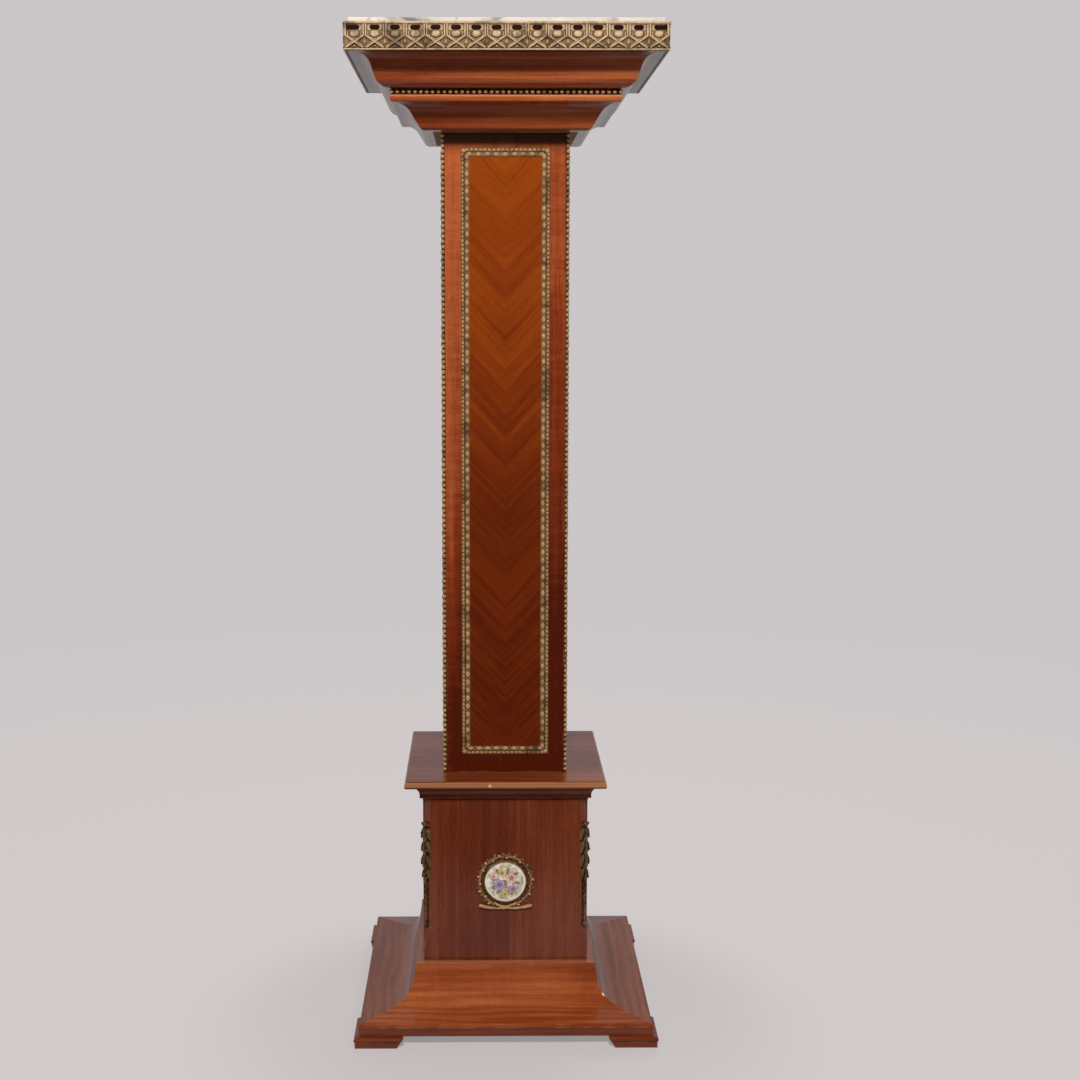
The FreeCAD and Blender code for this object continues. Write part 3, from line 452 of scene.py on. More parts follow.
def leafForm(length, width, height, lobes=0, curl=0.0, along=10, across=6):
    # a leaf from its stalk at the middle to its tip up the face, ribbed, and notched where it has lobes
    points, faces = [], []
    for i in range(along + 1):
        up = i / along
        half = width / 2 * (sin(pi * min(up, 0.995) ** 0.75) ** 0.8 + 0.05)
        if lobes:
            half *= 0.72 + 0.28 * abs(sin(pi * lobes * up))
        rise = height * (0.35 + 0.65 * sin(pi * min(up * 0.92 + 0.08, 1)))
        for j in range(across + 1):
            side = 2 * j / across - 1
            rib = 0.9 + 0.16 * cos(side * pi * 5) if lobes else 1 - 0.3 * max(0, 1 - abs(side) * 4)
            lift = rise * (1 - side * side) ** 0.6 * rib + curl * up * up
            points.append(Vector((half * side, length * up, lift)))
    row = across + 1
    for i in range(along):
        for j in range(across):
            start = i * row + j
            faces.append((start, start + 1, start + row + 1, start + row))
    rim = list(range(across)) + [i * row + across for i in range(along)]
    rim += [along * row + j for j in range(across, 0, -1)] + [i * row for i in range(along, 0, -1)]
    foot = len(points)
    points += [Vector((points[i].x, points[i].y, -0.2)) for i in rim]
    for i in range(len(rim)):
        after = (i + 1) % len(rim)
        faces.append((rim[after], rim[i], foot + i, foot + after))
    faces.append(tuple(reversed(range(foot, foot + len(rim)))))
    return points, faces


def rodForm(route, radii, around=8, flatten=1.0):
    # a rod along a route, as thick as radii says, pressed towards the wood by flatten
    points, faces = [], []
    for i, spot in enumerate(route):
        ahead = route[min(i + 1, len(route) - 1)] - route[max(i - 1, 0)]
        side = ahead.cross(Vector((0, 0, 1))).normalized()
        lift = side.cross(ahead).normalized()
        for step in range(around):
            turn = 2 * pi * step / around
            points.append(spot + (side * cos(turn) + lift * sin(turn) * flatten) * radii[i])
    for i in range(len(route) - 1):
        for step in range(around):
            here, after = i * around + step, i * around + (step + 1) % around
            faces.append((here, after, after + around, here + around))
    faces.append(tuple(reversed(range(around))))
    last = (len(route) - 1) * around
    faces.append(tuple(range(last, last + around)))
    return points, faces


def prism(points):
    # a closed form between two outlines of as many points, one after the other
    count = len(points) // 2
    faces = [(i, (i + 1) % count, count + (i + 1) % count, count + i) for i in range(count)]
    return points, faces + [tuple(reversed(range(count))), tuple(range(count, 2 * count))]


def barForm(section, half, mitre):
    # a straight bar with mitred ends; section is (up, out), its half length grows with up or with out
    return prism([Vector((end * (half + (up if mitre == "up" else out)), up, out))
                  for end in (-1, 1) for up, out in section])


def slabForm(outline, low, high):
    # a flat plate with an outline of (x, y)
    return prism([Vector((x, y, z)) for z in (low, high) for x, y in outline])


def spunForm(section, around=72):
    # section is (radius, out) from the middle outwards, turned round the face's own axis
    points, faces = [], []
    count = len(section)
    for step in range(around):
        points += [polar(radius, 2 * pi * step / around, out) for radius, out in section]
    for step in range(around):
        here, after = step * count, (step + 1) % around * count
        for i in range(count):
            ahead = (i + 1) % count
            faces.append((here + i, here + ahead, after + ahead, after + i))
    return points, faces


def smoothRoute(stops, steps=5):
    # a smooth line through a few points
    ends = [stops[0]] + stops + [stops[-1]]
    route = []
    for i in range(1, len(ends) - 2):
        before, here, after, last = (Vector(ends[i + k]) for k in (-1, 0, 1, 2))
        bend = 2 * before - 5 * here + 4 * after - last
        sway = 3 * here - before - 3 * after + last
        for step in range(steps):
            t = step / steps
            route.append(0.5 * (2 * here + (after - before) * t + bend * t ** 2 + sway * t ** 3))
    route.append(Vector(stops[-1]))
    return route


def joined(*forms):
    points, faces = [], []
    for formPoints, formFaces in forms:
        start = len(points)
        points += formPoints
        faces += [tuple(start + i for i in face) for face in formFaces]
    return points, faces


def movedBy(form, move):
    return [move @ point for point in form[0]], form[1]


def placed(form, x=0.0, y=0.0, z=0.0, turn=0.0, size=1.0):
    # the form sized, turned in the face's plane, then moved
    return movedBy(form, Matrix.Translation((x, y, z)) @ Matrix.Rotation(radians(turn), 4, "Z")
                   @ Matrix.Scale(size, 4))


def faceOf(turn, distance, height=0.0):
    # where a face of the column stands: turned about the column, at a distance from its middle
    return (Matrix.Scale(mm, 4) @ Matrix.Rotation(radians(turn), 4, "Z")
            @ Matrix.Translation((0, -distance, height)) @ Matrix.Rotation(pi / 2, 4, "X"))


def newObject(name, data):
    item = bpy.data.objects.new(name, data)
    bpy.context.scene.collection.objects.link(item)
    return item


def setPiece(name, layers, face, slot, *nodes):
    # layers pairs each form with its finish
    points, faces = joined(*[form for form, material in layers])
    mesh = bpy.data.meshes.new(name)
    mesh.from_pydata([face @ point for point in points], [], faces)
    solid = bmesh.new()
    solid.from_mesh(mesh)
    bmesh.ops.recalc_face_normals(solid, faces=solid.faces)
    solid.to_mesh(mesh)
    solid.free()
    mesh.shade_smooth()
    mesh.set_sharp_from_angle(angle=sharpAngle)
    finishOf = []
    for index, (form, material) in enumerate(layers):
        mesh.materials.append(material)
        finishOf += [index] * len(form[1])
    mesh.polygons.foreach_set("material_index", finishOf)
    piece = newObject(name, mesh)
    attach(piece, "stand")
    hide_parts(*nodes)


# the stamped gallery round the slab
gallery = {
    "face": 172.3, "foot": 1115.2, "height": 29.8, "plate": 0.6, "motifs": 16,
    "slotLow": 21.0, "slotHigh": 26.2, "slotHalf": 5.5, "headRim": 2.6, "footRim": 2.0,
    "lobe": (5.0, 3.9, 2.1),  # half width, half height, swell
    "bead": (1.45, 1.45, 1.5),
    "lobeLeaf": (7.4, 3.0, 1.0),  # length, width, swell
    "husk": (6.2, 3.6, 1.4),
    "lobeAt": 16.7, "lobeLeafOut": 1.1, "beadAt": 4.1,
    "huskAt": 6.2, "jointBeadAt": 14.4, "jointBeadSize": 0.7,
    "rimSteps": (27.0, 27.4, 28.1, 29.2),  # heights where the head rim changes
    # each rib's radius, its stops as (inset from the joint, height, out), its height at the crossing and
    # how much lower it lies there, and its last stop, on the motif's other side
    "ribs": (
        (1.15, ((1.25, 27.4, 1.1), (1.25, 17.0, 1.1), (2.2, 14.4, 1.1)), (8.4, 0), (1.4, 2.4, 1.1)),
        (0.713, ((3.4, 19.5, 0.9), (3.6, 16.4, 0.9), (5.0, 13.2, 0.9)), (11.0, 0.2), (2.6, 4.6, 0.8)),
    ),
    "ribOut": {-1: 1.15, 1: 1.55},  # the ribs from one side pass over those from the other
}


def slotPost(pitch):
    # the web between two slots, whose ends are half round
    low, half = gallery["slotLow"], pitch / 2 - gallery["slotHalf"]
    radius = (gallery["slotHigh"] - low) / 2
    right = []
    for step in range(9):
        turn = pi * step / 8
        right.append((half + radius - radius * sin(turn), low + radius - radius * cos(turn)))
    return slabForm(right + [(-x, y) for x, y in reversed(right)], 0, gallery["plate"])


def galleryMotif(pitch):
    half = pitch / 2
    lobe = joined(domeForm(*gallery["lobe"], rings=4, around=16, square=0.8),
                  placed(leafForm(*gallery["lobeLeaf"]), y=-gallery["lobe"][1], z=gallery["lobeLeafOut"]))
    parts = [placed(lobe, y=gallery["lobeAt"])]
    for side, over in gallery["ribOut"].items():
        for radius, start, (level, drop), (inset, low, out) in gallery["ribs"]:
            stops = [(side * (half - x), y, z) for x, y, z in start]
            route = smoothRoute(stops + [(0, level, over - drop), (-side * (half - inset), low, out)], 4)
            parts.append(rodForm(route, [radius] * len(route)))
    parts.append(placed(domeForm(*gallery["bead"]), y=gallery["beadAt"], z=gallery["plate"]))
    return joined(*parts)


def galleryJoint():
    # a small husk and bead over the joint between two motifs
    husk = placed(leafForm(*gallery["husk"]), y=gallery["huskAt"], z=gallery["plate"])
    return joined(husk, placed(domeForm(*gallery["bead"]), y=gallery["jointBeadAt"], z=gallery["plate"],
                               size=gallery["jointBeadSize"]))


def makeGallery():
    face, plate, top, low, high = pick(gallery, "face", "plate", "height", "slotLow", "slotHigh")
    headRim, footRim = pick(gallery, "headRim", "footRim")
    lip, swell, full, back = gallery["rimSteps"]
    pitch = 2 * (face + plate) / gallery["motifs"]
    starts = [pitch * (i + 0.5 - gallery["motifs"] / 2) for i in range(gallery["motifs"])]
    joints = [start + pitch / 2 for start in starts[:-1]]
    sheet = barForm([(0, 0), (0, plate), (low, plate), (low, 0)], face, "out")
    posts = [placed(slotPost(pitch), x=joint) for joint in joints]
    rims = [
        barForm([(high, 0), (high, plate), (lip, plate + 0.3), (swell, headRim * 0.8), (full, headRim),
                 (back, headRim), (top, headRim * 0.8), (top, 0)], face, "out"),
        barForm([(0, plate), (0, footRim * 0.7), (0.5, footRim), (1.5, footRim), (2.2, plate)], face, "out"),
    ]
    work = [placed(galleryMotif(pitch), x=start) for start in starts]
    work += [placed(galleryJoint(), x=joint) for joint in joints]
    layers = [(sheet, duskyBrass), (joined(*posts, *rims, *work), galleryBrass)]
    for side, turn in sideTurns.items():
        setPiece(f"gallery_{side}", layers, faceOf(turn, face, gallery["foot"]), "brass",
                 f"gallery_band_{side}")


# the stamped strip round each chevron panel: plate, oval beads inside, leaves outside
panelTrim = {
    "face": 72.5, "foot": 323.5, "head": 1018.0, "half": 46.0,
    "section": ((-4.8, 0), (-4.8, 0.7), (-4.35, 0.8), (-4.2, 0.45), (0.35, 0.45), (0.5, 0.95), (0.8, 0.95),
                (0.95, 0.45), (4.35, 0.45), (4.5, 0.75), (4.8, 0.65), (4.8, 0)),  # up and out
    "beadPitch": 9.7,
    "bead": (2.55, 3.9, 1.7),  # half width, half length, swell
    "beadAt": -2.0,
    "leafAt": 2.75,
    "leaf": (4.9, 3.7, 1.0),  # length, width, swell
    "out": 0.4,
    "boss": (3.0, 3.0, 1.6),
    "bossAt": 1.6,
    "bossOut": 0.3,
}


def trimRun(length):
    # one straight strip along x, its middle line on y = 0 and the panel below it: plate, beads, leaves
    half, out, corner = length / 2, *pick(panelTrim, "out", "bossAt")
    count = round(length / panelTrim["beadPitch"])
    pitch = length / count
    bead = placed(domeForm(*panelTrim["bead"], rings=4, around=12), y=panelTrim["beadAt"], z=out, turn=90)
    leaf = placed(leafForm(*panelTrim["leaf"], along=6), y=panelTrim["leafAt"], z=out, turn=-90)
    # the boss sits on the mitre
    boss = placed(domeForm(*panelTrim["boss"]), x=half + corner, y=corner, z=panelTrim["bossOut"])
    return (barForm(panelTrim["section"], half, "up"),
            joined(boss, *[placed(bead, x=pitch * (i + 0.5) - half) for i in range(count)]),
            joined(*[placed(leaf, x=pitch / 2 * i - half) for i in range(2 * count)]))


def makePanelTrim():
    middle = (panelTrim["foot"] + panelTrim["head"]) / 2
    tall, wide = (panelTrim["head"] - panelTrim["foot"]) / 2, panelTrim["half"]
    layers, materials = [], (duskyBrass, giltBrass, giltBrass)
    for upright, level, material in zip(trimRun(2 * tall), trimRun(2 * wide), materials):
        sides = [placed(level, y=tall), placed(level, y=-tall, turn=180)]
        sides += [placed(upright, x=-wide, turn=90), placed(upright, x=wide, turn=-90)]
        layers.append((joined(*sides), material))
    for side, turn in sideTurns.items():
        setPiece(f"panel_trim_{side}", layers, faceOf(turn, panelTrim["face"], middle), "brass",
                 f"panel_frame_{side}")


# bead strings in the rebates of the shaft's arrises
arrisString = {"foot": 297.0, "head": 1040.0, "pitch": 5.95, "radius": 2.35, "halfLength": 2.8, "at": 71.12}


def makeArrisStrings():
    foot, head, at, radius = pick(arrisString, "foot", "head", "at", "radius")
    count = round((head - foot) / arrisString["pitch"])
    pitch = (head - foot) / count
    bead = beadForm(radius, arrisString["halfLength"], 0)
    string = joined(*[placed(bead, y=foot + pitch * (i + 0.5)) for i in range(count)])
    # the core's plan is drawn at the front right arris
    inner, outer = at - radius, at + radius * 0.35
    core = slabForm([(inner, -outer), (outer, -outer), (outer, -inner), (inner, -inner)], foot, head)
    beads, cores = [], []
    for turn in cornerTurns.values():
        toArris = Matrix.Rotation(radians(turn), 4, "Z")
        cores.append(movedBy(core, toArris))
        stand = Matrix.Translation((at, -at, 0)) @ Matrix.Rotation(pi / 2, 4, "X")
        beads.append(movedBy(string, toArris @ stand))
    setPiece("arris_strings", [(joined(*cores), groundBrass), (joined(*beads), giltBrass)],
             Matrix.Scale(mm, 4), "brass", "arris_beads")


# pearls on the step of the capital
pearlRow = {"face": 123.9, "foot": 1075.2, "height": 5.8, "pitch": 6.45, "radius": 2.6, "out": 1.75,
            "lip": 1.5, "web": 0.8}


def makePearls():
    face, height, radius, out, lip, web = pick(pearlRow, "face", "height", "radius", "out", "lip", "web")
    reach = face + out
    count = round(2 * reach / pearlRow["pitch"])
    pitch = 2 * reach / count
    pearl = beadForm(radius, radius, out)
    strip = barForm([(0, 0), (0, lip), (0.5, lip), (0.9, web), (height - 0.9, web), (height - 0.5, lip),
                     (height, lip), (height, 0)], face, "out")
    row = joined(*[placed(pearl, x=pitch * i - reach, y=height / 2) for i in range(count)])
    layers = []
    for form, material in ((strip, groundBrass), (row, giltBrass)):
        sides = [movedBy(form, faceOf(turn, face, pearlRow["foot"])) for turn in sideTurns.values()]
        layers.append((joined(*sides), material))
    setPiece("pearl_rows", layers, Matrix(), "brass", "pearl_strips")


# cast mounts on the stopped chamfers of the die
cornerCast = {
    "face": 131.5, "head": 243.0, "foot": 112.0, "width": 15.0, "depth": 9.4, "seed": 11,
    "bud": (4.0, 3.6, 5.4),  # half width, half height, swell
    "crestLeaf": (7.5, 4.6, 2.4),  # length, width, swell
    # each swag of leaves: start under the head, length, share of the width, swell
    "swags": ((5, 25, 0.96, 5.4), (21, 25, 0.84, 6.0), (38, 24, 0.96, 6.2), (55, 22, 0.72, 4.8)),
    "husksFrom": 73,  # under the head
    "husksTo": 15,  # over the foot
    "huskPitch": 8.0,
    "huskShrink": 0.94,
    "huskSide": (9.0, 3.2, 2.2),
    "huskMiddle": (10.0, 3.6, 3.2),
    "huskBead": (1.6, 1.6, 3.2),
    "stem": 1.5,
    "drop": (2.9, 4.4, 3.8),
    "dropTip": (1.5, 1.9, 2.2),
}


def makeCornerCasts():
    random.seed(cornerCast["seed"])
    head, foot, wide, deep = pick(cornerCast, "head", "foot", "width", "depth")
    parts = [placed(domeForm(*cornerCast["bud"], rings=4, around=14), y=head - 3.7)]
    for side in (-1, 1):
        leaf = leafForm(*cornerCast["crestLeaf"], curl=1.2)
        parts.append(placed(leaf, y=head - 6.0, z=0.6, turn=side * 62))
    # swags of acanthus that overlap downwards, with fruit between the leaves
    for start, length, share, swell in cornerCast["swags"]:
        width, top = wide * share, head - start
        for side in (-1, 1):
            leaf = leafForm(length * 0.66, width * 0.46, swell * 0.6, lobes=3, curl=0.8)
            parts.append(placed(leaf, x=side * width * 0.14, y=top - 1, z=0.2, turn=180 + side * 19))
        leaf = leafForm(length, width * 0.62, swell, lobes=4, curl=deep - swell - 3.0)
        parts.append(placed(leaf, y=top, turn=180))
        for i in range(5):
            size = random.uniform(1.3, 1.9)
            parts.append(placed(domeForm(size, size, size * 1.1), x=width * 0.34 * sin(2.4 * i),
                                y=top - 3 - i * 3.2, z=swell * random.uniform(0.35, 0.7)))
    # husks that grow smaller down the stem
    level, size = head - cornerCast["husksFrom"], 1.0
    sideLeaf, leaf = (leafForm(*cornerCast[key], curl=0.8) for key in ("huskSide", "huskMiddle"))
    while level > foot + cornerCast["husksTo"]:
        for side in (-1, 1):
            parts.append(placed(sideLeaf, y=level, turn=180 + side * 22, size=size))
        parts.append(placed(leaf, y=level, turn=180, size=size))
        parts.append(placed(domeForm(*cornerCast["huskBead"]), y=level, size=size))
        level -= cornerCast["huskPitch"] * size
        size *= cornerCast["huskShrink"]
    route = smoothRoute([(0, head - 60, 1.2), (0, (head + foot) / 2 - 12, 1.1), (0, foot + 6, 1.0)])
    parts.append(rodForm(route, [cornerCast["stem"]] * len(route)))
    # the stem ends in a small flared drop
    parts.append(placed(domeForm(*cornerCast["drop"], rings=4), y=foot + 6.2))
    parts.append(placed(domeForm(*cornerCast["dropTip"]), y=foot + 2.0))
    form = joined(*parts)
    for corner, turn in cornerTurns.items():
        setPiece(f"corner_cast_{corner}", [(form, antiqueBrass)], faceOf(turn + 45, cornerCast["face"]),
                 "antique_brass", f"corner_mount_{corner}")


# leafy wreath with crossed stems round the plaque
wreath = {
    "face": 97.0, "centre": 171.0, "ring": 30.7, "leaves": 22, "seed": 7,
    # what grows at each place: lean, out, length, width, swell
    "sprig": ((52, 0.4, 5.4, 4.4, 2.0), (-46, -0.6, 5.0, 3.8, 1.8), (6, 0.0, 6.4, 3.6, 2.6)),
    "stemFoot": -30.2, "stemHalf": 33.0, "stemThin": 1.3, "stemThick": 2.2, "stemEnd": 1.2,
    "bough": 1.6,
    "knot": (2.9, 2.4, 2.8),
    "stemLeaf": (6.0, 3.0, 1.8),
    "crestLeaf": (3.9, 2.8, 1.6),
}


def makeWreath():
    random.seed(wreath["seed"])
    ring, count = wreath["ring"], wreath["leaves"]
    # the bough that the leaves grow on
    bough = [polar(ring, radians(angle), 1.1) for angle in range(-90, 271, 12)]
    leaves, fruit = [rodForm(bough, [wreath["bough"]] * len(bough), flatten=0.9)], []
    for i in range(count):
        # both halves of the wreath grow from the stems at the foot up to the crest
        angle = -90 + 360 * (i + 0.5) / count
        grows = 1 if angle < 90 else -1
        tangent = angle + (0 if grows > 0 else 180)
        for lean, out, length, width, swell in wreath["sprig"]:
            around = radians(angle + random.uniform(-2, 2))
            leaf = leafForm(length, width, swell, curl=0.4, along=8)
            leaves.append(placed(leaf, *polar(ring + out, around, 0.2), turn=tangent - grows * lean,
                                 size=random.uniform(0.9, 1.02)))
        size = random.uniform(1.7, 2.15)
        around = radians(angle + 360 * 0.3 / count)
        out = ring + (1.5 if i % 2 else -1.3) + random.uniform(-0.2, 0.2)
        fruit.append(placed(domeForm(size, size, size * 0.95), *polar(out, around, 2.5 - size * 0.2)))
    drop, reach, thin, thick = pick(wreath, "stemFoot", "stemHalf", "stemThin", "stemThick")
    for side in (-1, 1):
        # each stem crosses under the knot and grows thicker towards its cut end
        stops = [(-side * 13, drop + 5.0, 1.7), (-side * 5, drop + 0.4, 2.1 + 0.3 * side),
                 (side * 7, drop - 1.9, 2.1), (side * 21, drop - 0.9, 2.2),
                 (side * reach * 0.95, drop + 1.4, 2.0)]
        route = smoothRoute(stops, 6)
        radii = [thin + (thick - thin) * i / (len(route) - 1) for i in range(len(route))]
        radii[-1] = wreath["stemEnd"]
        fruit.append(rodForm(route, radii, around=10, flatten=0.9))
        for at, turn in ((13, -58), (19, -118)):
            leaf = leafForm(*wreath["stemLeaf"], along=8)
            leaves.append(placed(leaf, x=side * at, y=drop - 0.6, z=1.0, turn=side * turn))
    fruit.append(placed(domeForm(*wreath["knot"], rings=4), y=drop - 1.0, z=1.5))
    for turn in (-50, 0, 50):
        leaf = leafForm(*wreath["crestLeaf"], curl=0.4, along=8)
        leaves.append(placed(leaf, y=ring - 0.2, z=1.6, turn=turn))
    setPiece("wreath", [(joined(*leaves), duskyBrass), (joined(*fruit), giltBrass)],
             faceOf(0, wreath["face"], wreath["centre"]), "antique_brass", "wreath_mount")


# bezel and porcelain plaque
plaqueSet = {
    "bezelInner": 23.9, "bezelOuter": 26.45, "bezelDepth": 3.1, "bezelBeads": 68,
    "bezelBead": (0.72, 0.72, 0.9),  # half width, half height, swell
    "paintedRadius": 22.3,
    "ground": ((0.36, 0.32, 0.16), (0.62, 0.53, 0.38), (0.84, 0.76, 0.64)),
    "rim": (0.86, 0.83, 0.77),
    "line": (0.30, 0.17, 0.06),
    "craze": (0.35, 0.26, 0.16),
    "lilac": ((0.070, 0.030, 0.090), (0.19, 0.10, 0.22), (0.46, 0.33, 0.49)),
    "blush": ((0.22, 0.065, 0.050), (0.47, 0.20, 0.15), (0.74, 0.50, 0.42)),
    "ochre": ((0.15, 0.070, 0.015), (0.38, 0.22, 0.055), (0.66, 0.50, 0.22)),
    "olive": ((0.035, 0.038, 0.014), (0.105, 0.105, 0.036), (0.28, 0.26, 0.11)),
    "haze": ((0.66, 0.55, 0.50), (0.76, 0.66, 0.60), (0.80, 0.72, 0.66)),
    "sand": ((0.38, 0.22, 0.055), (0.62, 0.50, 0.26), (0.66, 0.50, 0.22)),
    "moss": ((0.28, 0.26, 0.11), (0.55, 0.53, 0.30), (0.66, 0.62, 0.42)),
    # strokes under the flowers, from the painting's middle: x, z, half length, half width, turn, tones
    "washes": ((2, 3, 17, 13, 20, "haze"), (3, -11, 14, 6.5, -8, "sand"), (7, 10, 9, 5.5, 30, "moss")),
    # x, z, half length, turn
    "stems": ((1.5, -8.5, 8.0, 97), (4.2, -8.0, 7.6, 74), (-2.0, -7.2, 7.4, 118), (5.5, 8.0, 5.5, 60)),
    "leaves": (  # x, z, turn, size
        (-12.5, -6.0, 205, 4.6), (-7.5, -11.0, 232, 4.4), (6.5, -12.5, 300, 4.0),
        (13.0, -1.0, 350, 4.4), (11.5, 8.5, 40, 4.2), (3.0, 13.0, 85, 4.0),
        (-8.5, 12.0, 128, 3.8), (-14.0, 3.0, 170, 3.8), (0.3, -1.5, 280, 4.2),
    ),
    "flowers": (  # x, z, size, petals, tones
        (-7.0, -3.4, 8.6, 6, "lilac"), (7.0, 4.8, 7.8, 5, "blush"), (-3.8, 10.8, 5.8, 6, "ochre"),
        (9.2, -8.6, 6.8, 5, "lilac"), (-14.2, 6.2, 4.6, 5, "blush"), (-0.4, -15.2, 4.6, 5, "ochre"),
    ),
}


def paintedPorcelain():
    finish = Finish("painted_porcelain", Coat_Weight=1.0, Coat_Roughness=0.03, IOR=1.5)
    x, _, z = finish.split(finish.place)
    flat = finish.gather(finish.times(x, 1000), finish.timesPlus(z, 1000, -wreath["centre"]), 0.0)
    # an unsteady brush: the place of each stroke is shaken by a fine noise
    wobble = finish.add("TexNoise", {"Vector": flat, "Scale": 0.5, "Detail": 3}).outputs["Color"]
    shift = finish.add("VectorMath", {0: flat, 1: (1.2, 1.2, 0)}, operation="SUBTRACT").outputs[0]
    shaken = finish.add("VectorMath", {0: wobble, 1: (2.4, 2.4, 0), 2: shift},
                        operation="MULTIPLY_ADD").outputs[0]
    hand = finish.noise(1.3, 2, place=flat)
    shade = finish.shades(finish.noise(0.12, 4, place=flat), *zip((0.40, 0.50, 0.60), plaqueSet["ground"]))

    def local(x, z, half, wide, turn):
        # place within one stroke, 1 long from its middle to its edge
        sockets = {"Vector": shaken, "Location": (x, z, 0), "Rotation": (0, 0, radians(turn)),
                   "Scale": (half, wide, 1)}
        return finish.add("Mapping", sockets, vector_type="TEXTURE").outputs[0]

    for *stroke, kind in sprayStrokes():
        paint = finish.spread(finish.measure("LENGTH", local(*stroke)), 1.15, 0.75, 0.0, 0.85)
        tones = finish.shades(hand, *zip((0.40, 0.50, 0.62), plaqueSet[kind]))
        shade = finish.blend(paint, shade, tones)
    for x, z, size, petals, kind in plaqueSet["flowers"]:
        # petals are a wave of the turn about the flower's middle
        dark, middle, light = plaqueSet[kind]
        spot = local(x, z, size, size, 17 * petals)
        across, up, _ = finish.split(spot)
        wave = finish.maths("COSINE", finish.times(finish.maths("ARCTAN2", up, across), petals))
        reach = finish.maths("DIVIDE", finish.measure("LENGTH", spot), finish.timesPlus(wave, 0.2, 0.82))
        reach = finish.timesPlus(hand, 0.35, reach)
        petal = finish.shades(reach, (0.22, plaqueSet["ochre"][1]), (0.34, dark), (0.55, middle),
                              (0.85, light), (1.0, light), (1.14, middle))
        shade = finish.blend(finish.spread(reach, 1.26, 1.12, 0.0, 0.92), shade, petal)
    # white rim, with a thin brown line where the painting ends
    radius = plaqueSet["paintedRadius"]
    out = finish.measure("LENGTH", flat)
    edge = finish.timesPlus(hand, 0.8, out)
    shade = finish.blend(finish.spread(edge, radius - 0.6, radius + 0.6), shade, plaqueSet["rim"])
    line = finish.spread(finish.maths("ABSOLUTE", finish.maths("SUBTRACT", out, radius)), 0.35, 0.1)
    shade = finish.blend(finish.times(line, 0.45), shade, plaqueSet["line"])
    craze = finish.add("TexVoronoi", {"Vector": flat, "Scale": 0.55}, feature="DISTANCE_TO_EDGE")
    crackle = finish.spread(craze.outputs["Distance"], 0.035, 0.0, 0.0, 0.16)
    shade = finish.blend(crackle, shade, plaqueSet["craze"])
    return finish.made(shade, 0.18, finish.relief(hand, 0.00006, 0.4))


def sprayStrokes():
    strokes = list(plaqueSet["washes"])
    strokes += [(x, z, half, 0.45, turn, "olive") for x, z, half, turn in plaqueSet["stems"]]
    strokes += [(x, z, size * 1.15, size * 0.52, turn, "olive") for x, z, turn, size in plaqueSet["leaves"]]
    return strokes


def makeBezel():
    inner, outer, depth = pick(plaqueSet, "bezelInner", "bezelOuter", "bezelDepth")
    section = [(inner, 0), (outer, 0), (outer, 0.9), (outer - 0.5, 1.3), (outer - 1.2, 1.4),
               (outer - 1.5, depth - 0.4), (outer - 2.0, depth), (inner + 0.1, depth - 0.3)]
    parts = [spunForm(section)]
    for i in range(plaqueSet["bezelBeads"]):
        turn = 2 * pi * i / plaqueSet["bezelBeads"]
        parts.append(placed(domeForm(*plaqueSet["bezelBead"]), *polar(outer - 0.75, turn, 1.2)))
    setPiece("bezel", [(joined(*parts), duskyBrass)], faceOf(0, wreath["face"], wreath["centre"]),
             "antique_brass", "plaque_bezel")


makeGallery()
makePanelTrim()
makeArrisStrings()
makePearls()
makeCornerCasts()
makeWreath()
makeBezel()
dress(paintedPorcelain(), "plaque")
print("brass mounts set")

# camera, lamps and studio
studio = {
    "floorColour": (0.60, 0.555, 0.56),
    "floorGlow": (0.640, 0.592, 0.592),
    "wallColour": (0.597, 0.565, 0.578),
    "floorSize": 7.0,
    "toothColour": (0.5, 0.45, 0.46),
    "bounceColour": (0.22, 0.19, 0.18),
    "glowReach": (0.22, 0.40, 0.45),  # distances between which the paper's glow grows, and its least share
    "glowFront": 0.10,  # they are measured from this far in front of the axis
    "wallReach": (0.6, 2.6),  # distances between which the paper turns into the wall
    "ambient": 0.085,
    "roomColour": (0.050, 0.047, 0.047),  # what stands behind the camera, seen only in the polish
    "dimWall": 0.42,  # how far the wall goes to the room's colour in the polish
    "roomFloor": (-0.30, -0.75),  # where the room begins on the floor, along y
    "roomAhead": (0.15, -0.35),  # where it begins in the air, by a direction's parts along y and z
    "roomAbove": (0.30, 0.75),
    "airColour": (1, 0.985, 0.98),
}
cameraLook = {
    "place": (-0.0258, -1.95, 0.84), "tilt": 6.985, "pan": -0.51,
    "lens": 54.20, "sensor": 36, "shift": (0.0394, -0.0280),
}
# name: place, what it points at, width, height, watts, seen in the polish
lamps = {
    "key": ((-0.07, -2.60, 2.75), (0, 0, 0.70), 0.42, 0.42, 122, False),
    "fill": ((0.3, -2.4, 0.7), (0, 0, 0.6), 1.2, 1.2, 3, False),
    "sparkLeft": ((-0.85, -2.1, 1.35), (0, 0, 0.75), 0.40, 0.55, 2.0, True),
    "sparkRight": ((0.95, -2.1, 1.15), (0, 0, 0.75), 0.35, 0.50, 1.2, True),
    "left": ((-2.3, 0.2, 0.6), (0, 0, 0.6), 1.2, 0.8, 4, False),
    "right": ((2.3, 0.3, 0.6), (0, 0, 0.6), 1.2, 0.8, 3.4, False),
    "rear": ((0.5, 2.4, 1.9), (0, 0, 0.7), 1.4, 1.4, 24, False),
}


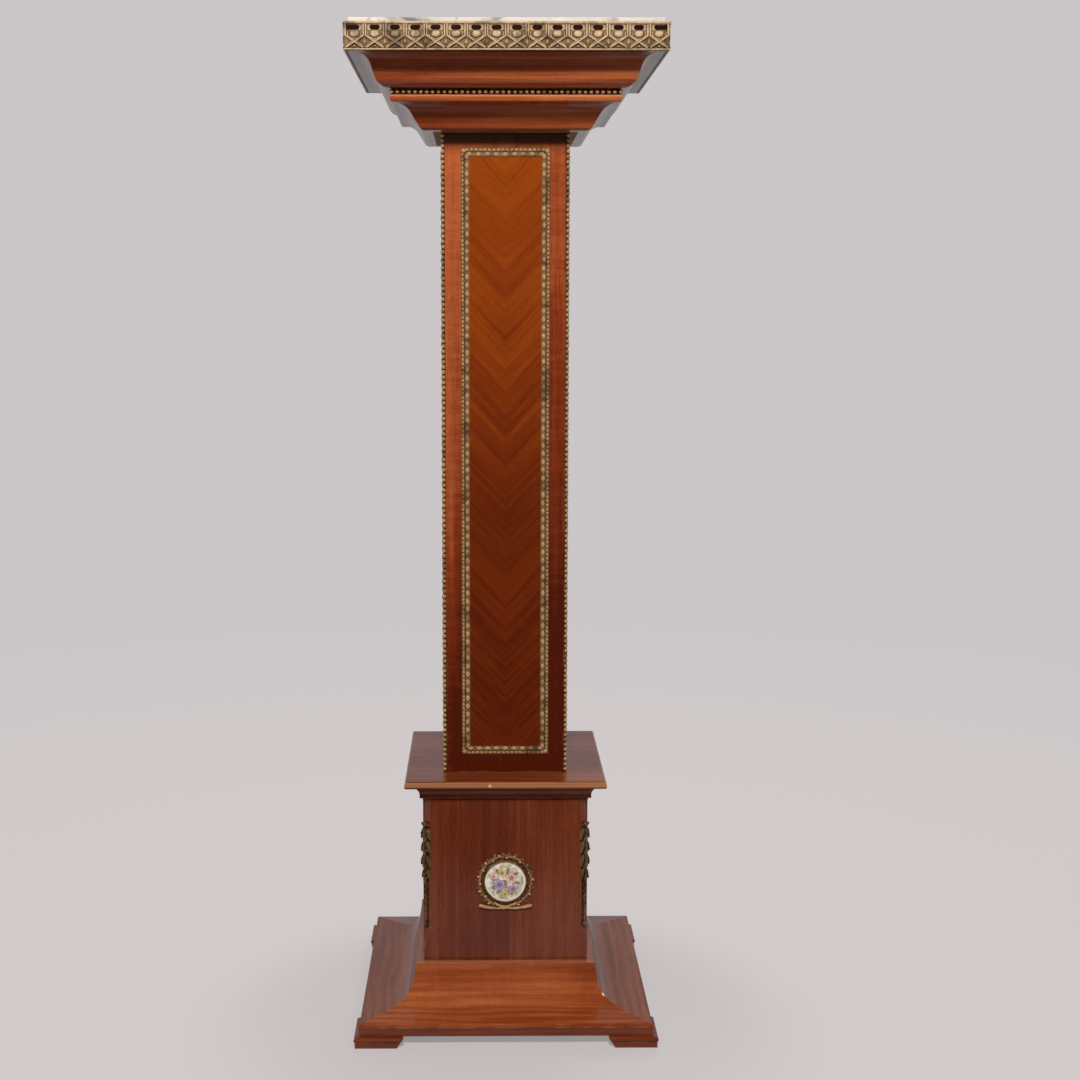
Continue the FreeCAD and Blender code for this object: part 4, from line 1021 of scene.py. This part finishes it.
def makeStudioFloor():
    half = studio["floorSize"]
    mesh = bpy.data.meshes.new("studio_floor")
    corners = [(x * half, y * half, 0) for x, y in ((-1, -1), (1, -1), (1, 1), (-1, 1))]
    mesh.from_pydata(corners, [], [(0, 1, 2, 3)])
    floor = newObject("studio_floor", mesh)
    finish = Finish("floor_paper", Roughness=0.65)
    path = finish.add("LightPath").outputs
    inPolish = path["Is Glossy Ray"]
    tooth = finish.times(finish.noise(300, 2), 0.03)
    paper = finish.blend(tooth, studio["floorColour"], studio["toothColour"])
    # the paper throws only a little of its light back up at the wood
    paper = finish.blend(path["Is Diffuse Ray"], paper, studio["bounceColour"])
    finish.feed(finish.shader.inputs["Base Color"], paper)
    # away from the stand the paper turns into the wall's colour, so no horizon shows
    onWall = finish.spread(finish.measure("LENGTH", finish.place), *studio["wallReach"])
    paint = finish.blend(onWall, studio["floorGlow"], studio["wallColour"])
    # in the polish the paper ends a little in front of the stand, where the dim room begins
    room = finish.times(finish.spread(finish.split(finish.place)[1], *studio["roomFloor"]), inPolish)
    dim = finish.larger(finish.times(inPolish, studio["dimWall"]), room)
    glow = finish.add("Emission", {"Color": finish.blend(dim, paint, studio["roomColour"])})
    far = finish.measure("DISTANCE", finish.place, (0, -studio["glowFront"], 0))
    far = finish.spread(far, *studio["glowReach"])
    seen = finish.times(far, finish.larger(path["Is Camera Ray"], inPolish))
    mixer = finish.add("MixShader", {0: finish.larger(seen, room), 1: finish.shader.outputs["BSDF"],
                                               2: glow.outputs[0]})
    finish.feed(finish.output.inputs["Surface"], mixer.outputs[0])
    mesh.materials.append(finish.material)


def makeWorld():
    world = bpy.data.worlds.new("studio_air")
    bpy.context.scene.world = world
    world.use_nodes = True
    air = Nodes(world.node_tree)
    path = air.add("LightPath").outputs
    inPolish = path["Is Glossy Ray"]
    # the wall goes all round, but the polish also shows the dim room in front and its ceiling
    _, ahead, above = air.split(air.add("TexCoord").outputs["Generated"])
    room = air.larger(air.spread(ahead, *studio["roomAhead"]), air.spread(above, *studio["roomAbove"]))
    dark = air.times(air.larger(room, studio["dimWall"]), inPolish)
    paint = air.blend(dark, studio["wallColour"], studio["roomColour"])
    wall = air.add("Background", {"Color": paint})
    ambient = {"Color": (*studio["airColour"], 1), "Strength": studio["ambient"]}
    around = air.add("Background", ambient)
    seen = air.larger(air.larger(path["Is Camera Ray"], inPolish), path["Is Transmission Ray"])
    mixer = air.add("MixShader", {0: seen, 1: around.outputs[0], 2: wall.outputs[0]})
    air.add("OutputWorld", {"Surface": mixer.outputs[0]})


def hangLamps():
    for name, (place, target, width, height, watts, inPolish) in lamps.items():
        light = bpy.data.lights.new(f"lamp_{name}", "AREA")
        light.shape = "RECTANGLE"
        light.size, light.size_y = width, height
        light.energy = watts
        lamp = newObject(f"lamp_{name}", light)
        lamp.location = place
        lamp.visible_glossy = inPolish
        lamp.visible_camera = False
        lamp.rotation_euler = (Vector(target) - Vector(place)).to_track_quat("-Z", "Y").to_euler()


def setCamera():
    lens = bpy.data.cameras.new("camera")
    lens.lens = cameraLook["lens"]
    lens.sensor_width = cameraLook["sensor"]
    lens.shift_x, lens.shift_y = cameraLook["shift"]
    camera = newObject("camera", lens)
    camera.location = cameraLook["place"]
    camera.rotation_euler = (radians(90 - cameraLook["tilt"]), 0, radians(cameraLook["pan"]))
    bpy.context.scene.camera = camera


makeStudioFloor()
makeWorld()
hangLamps()
setCamera()
bpy.context.scene.view_settings.view_transform = "Standard"
print("studio set up")
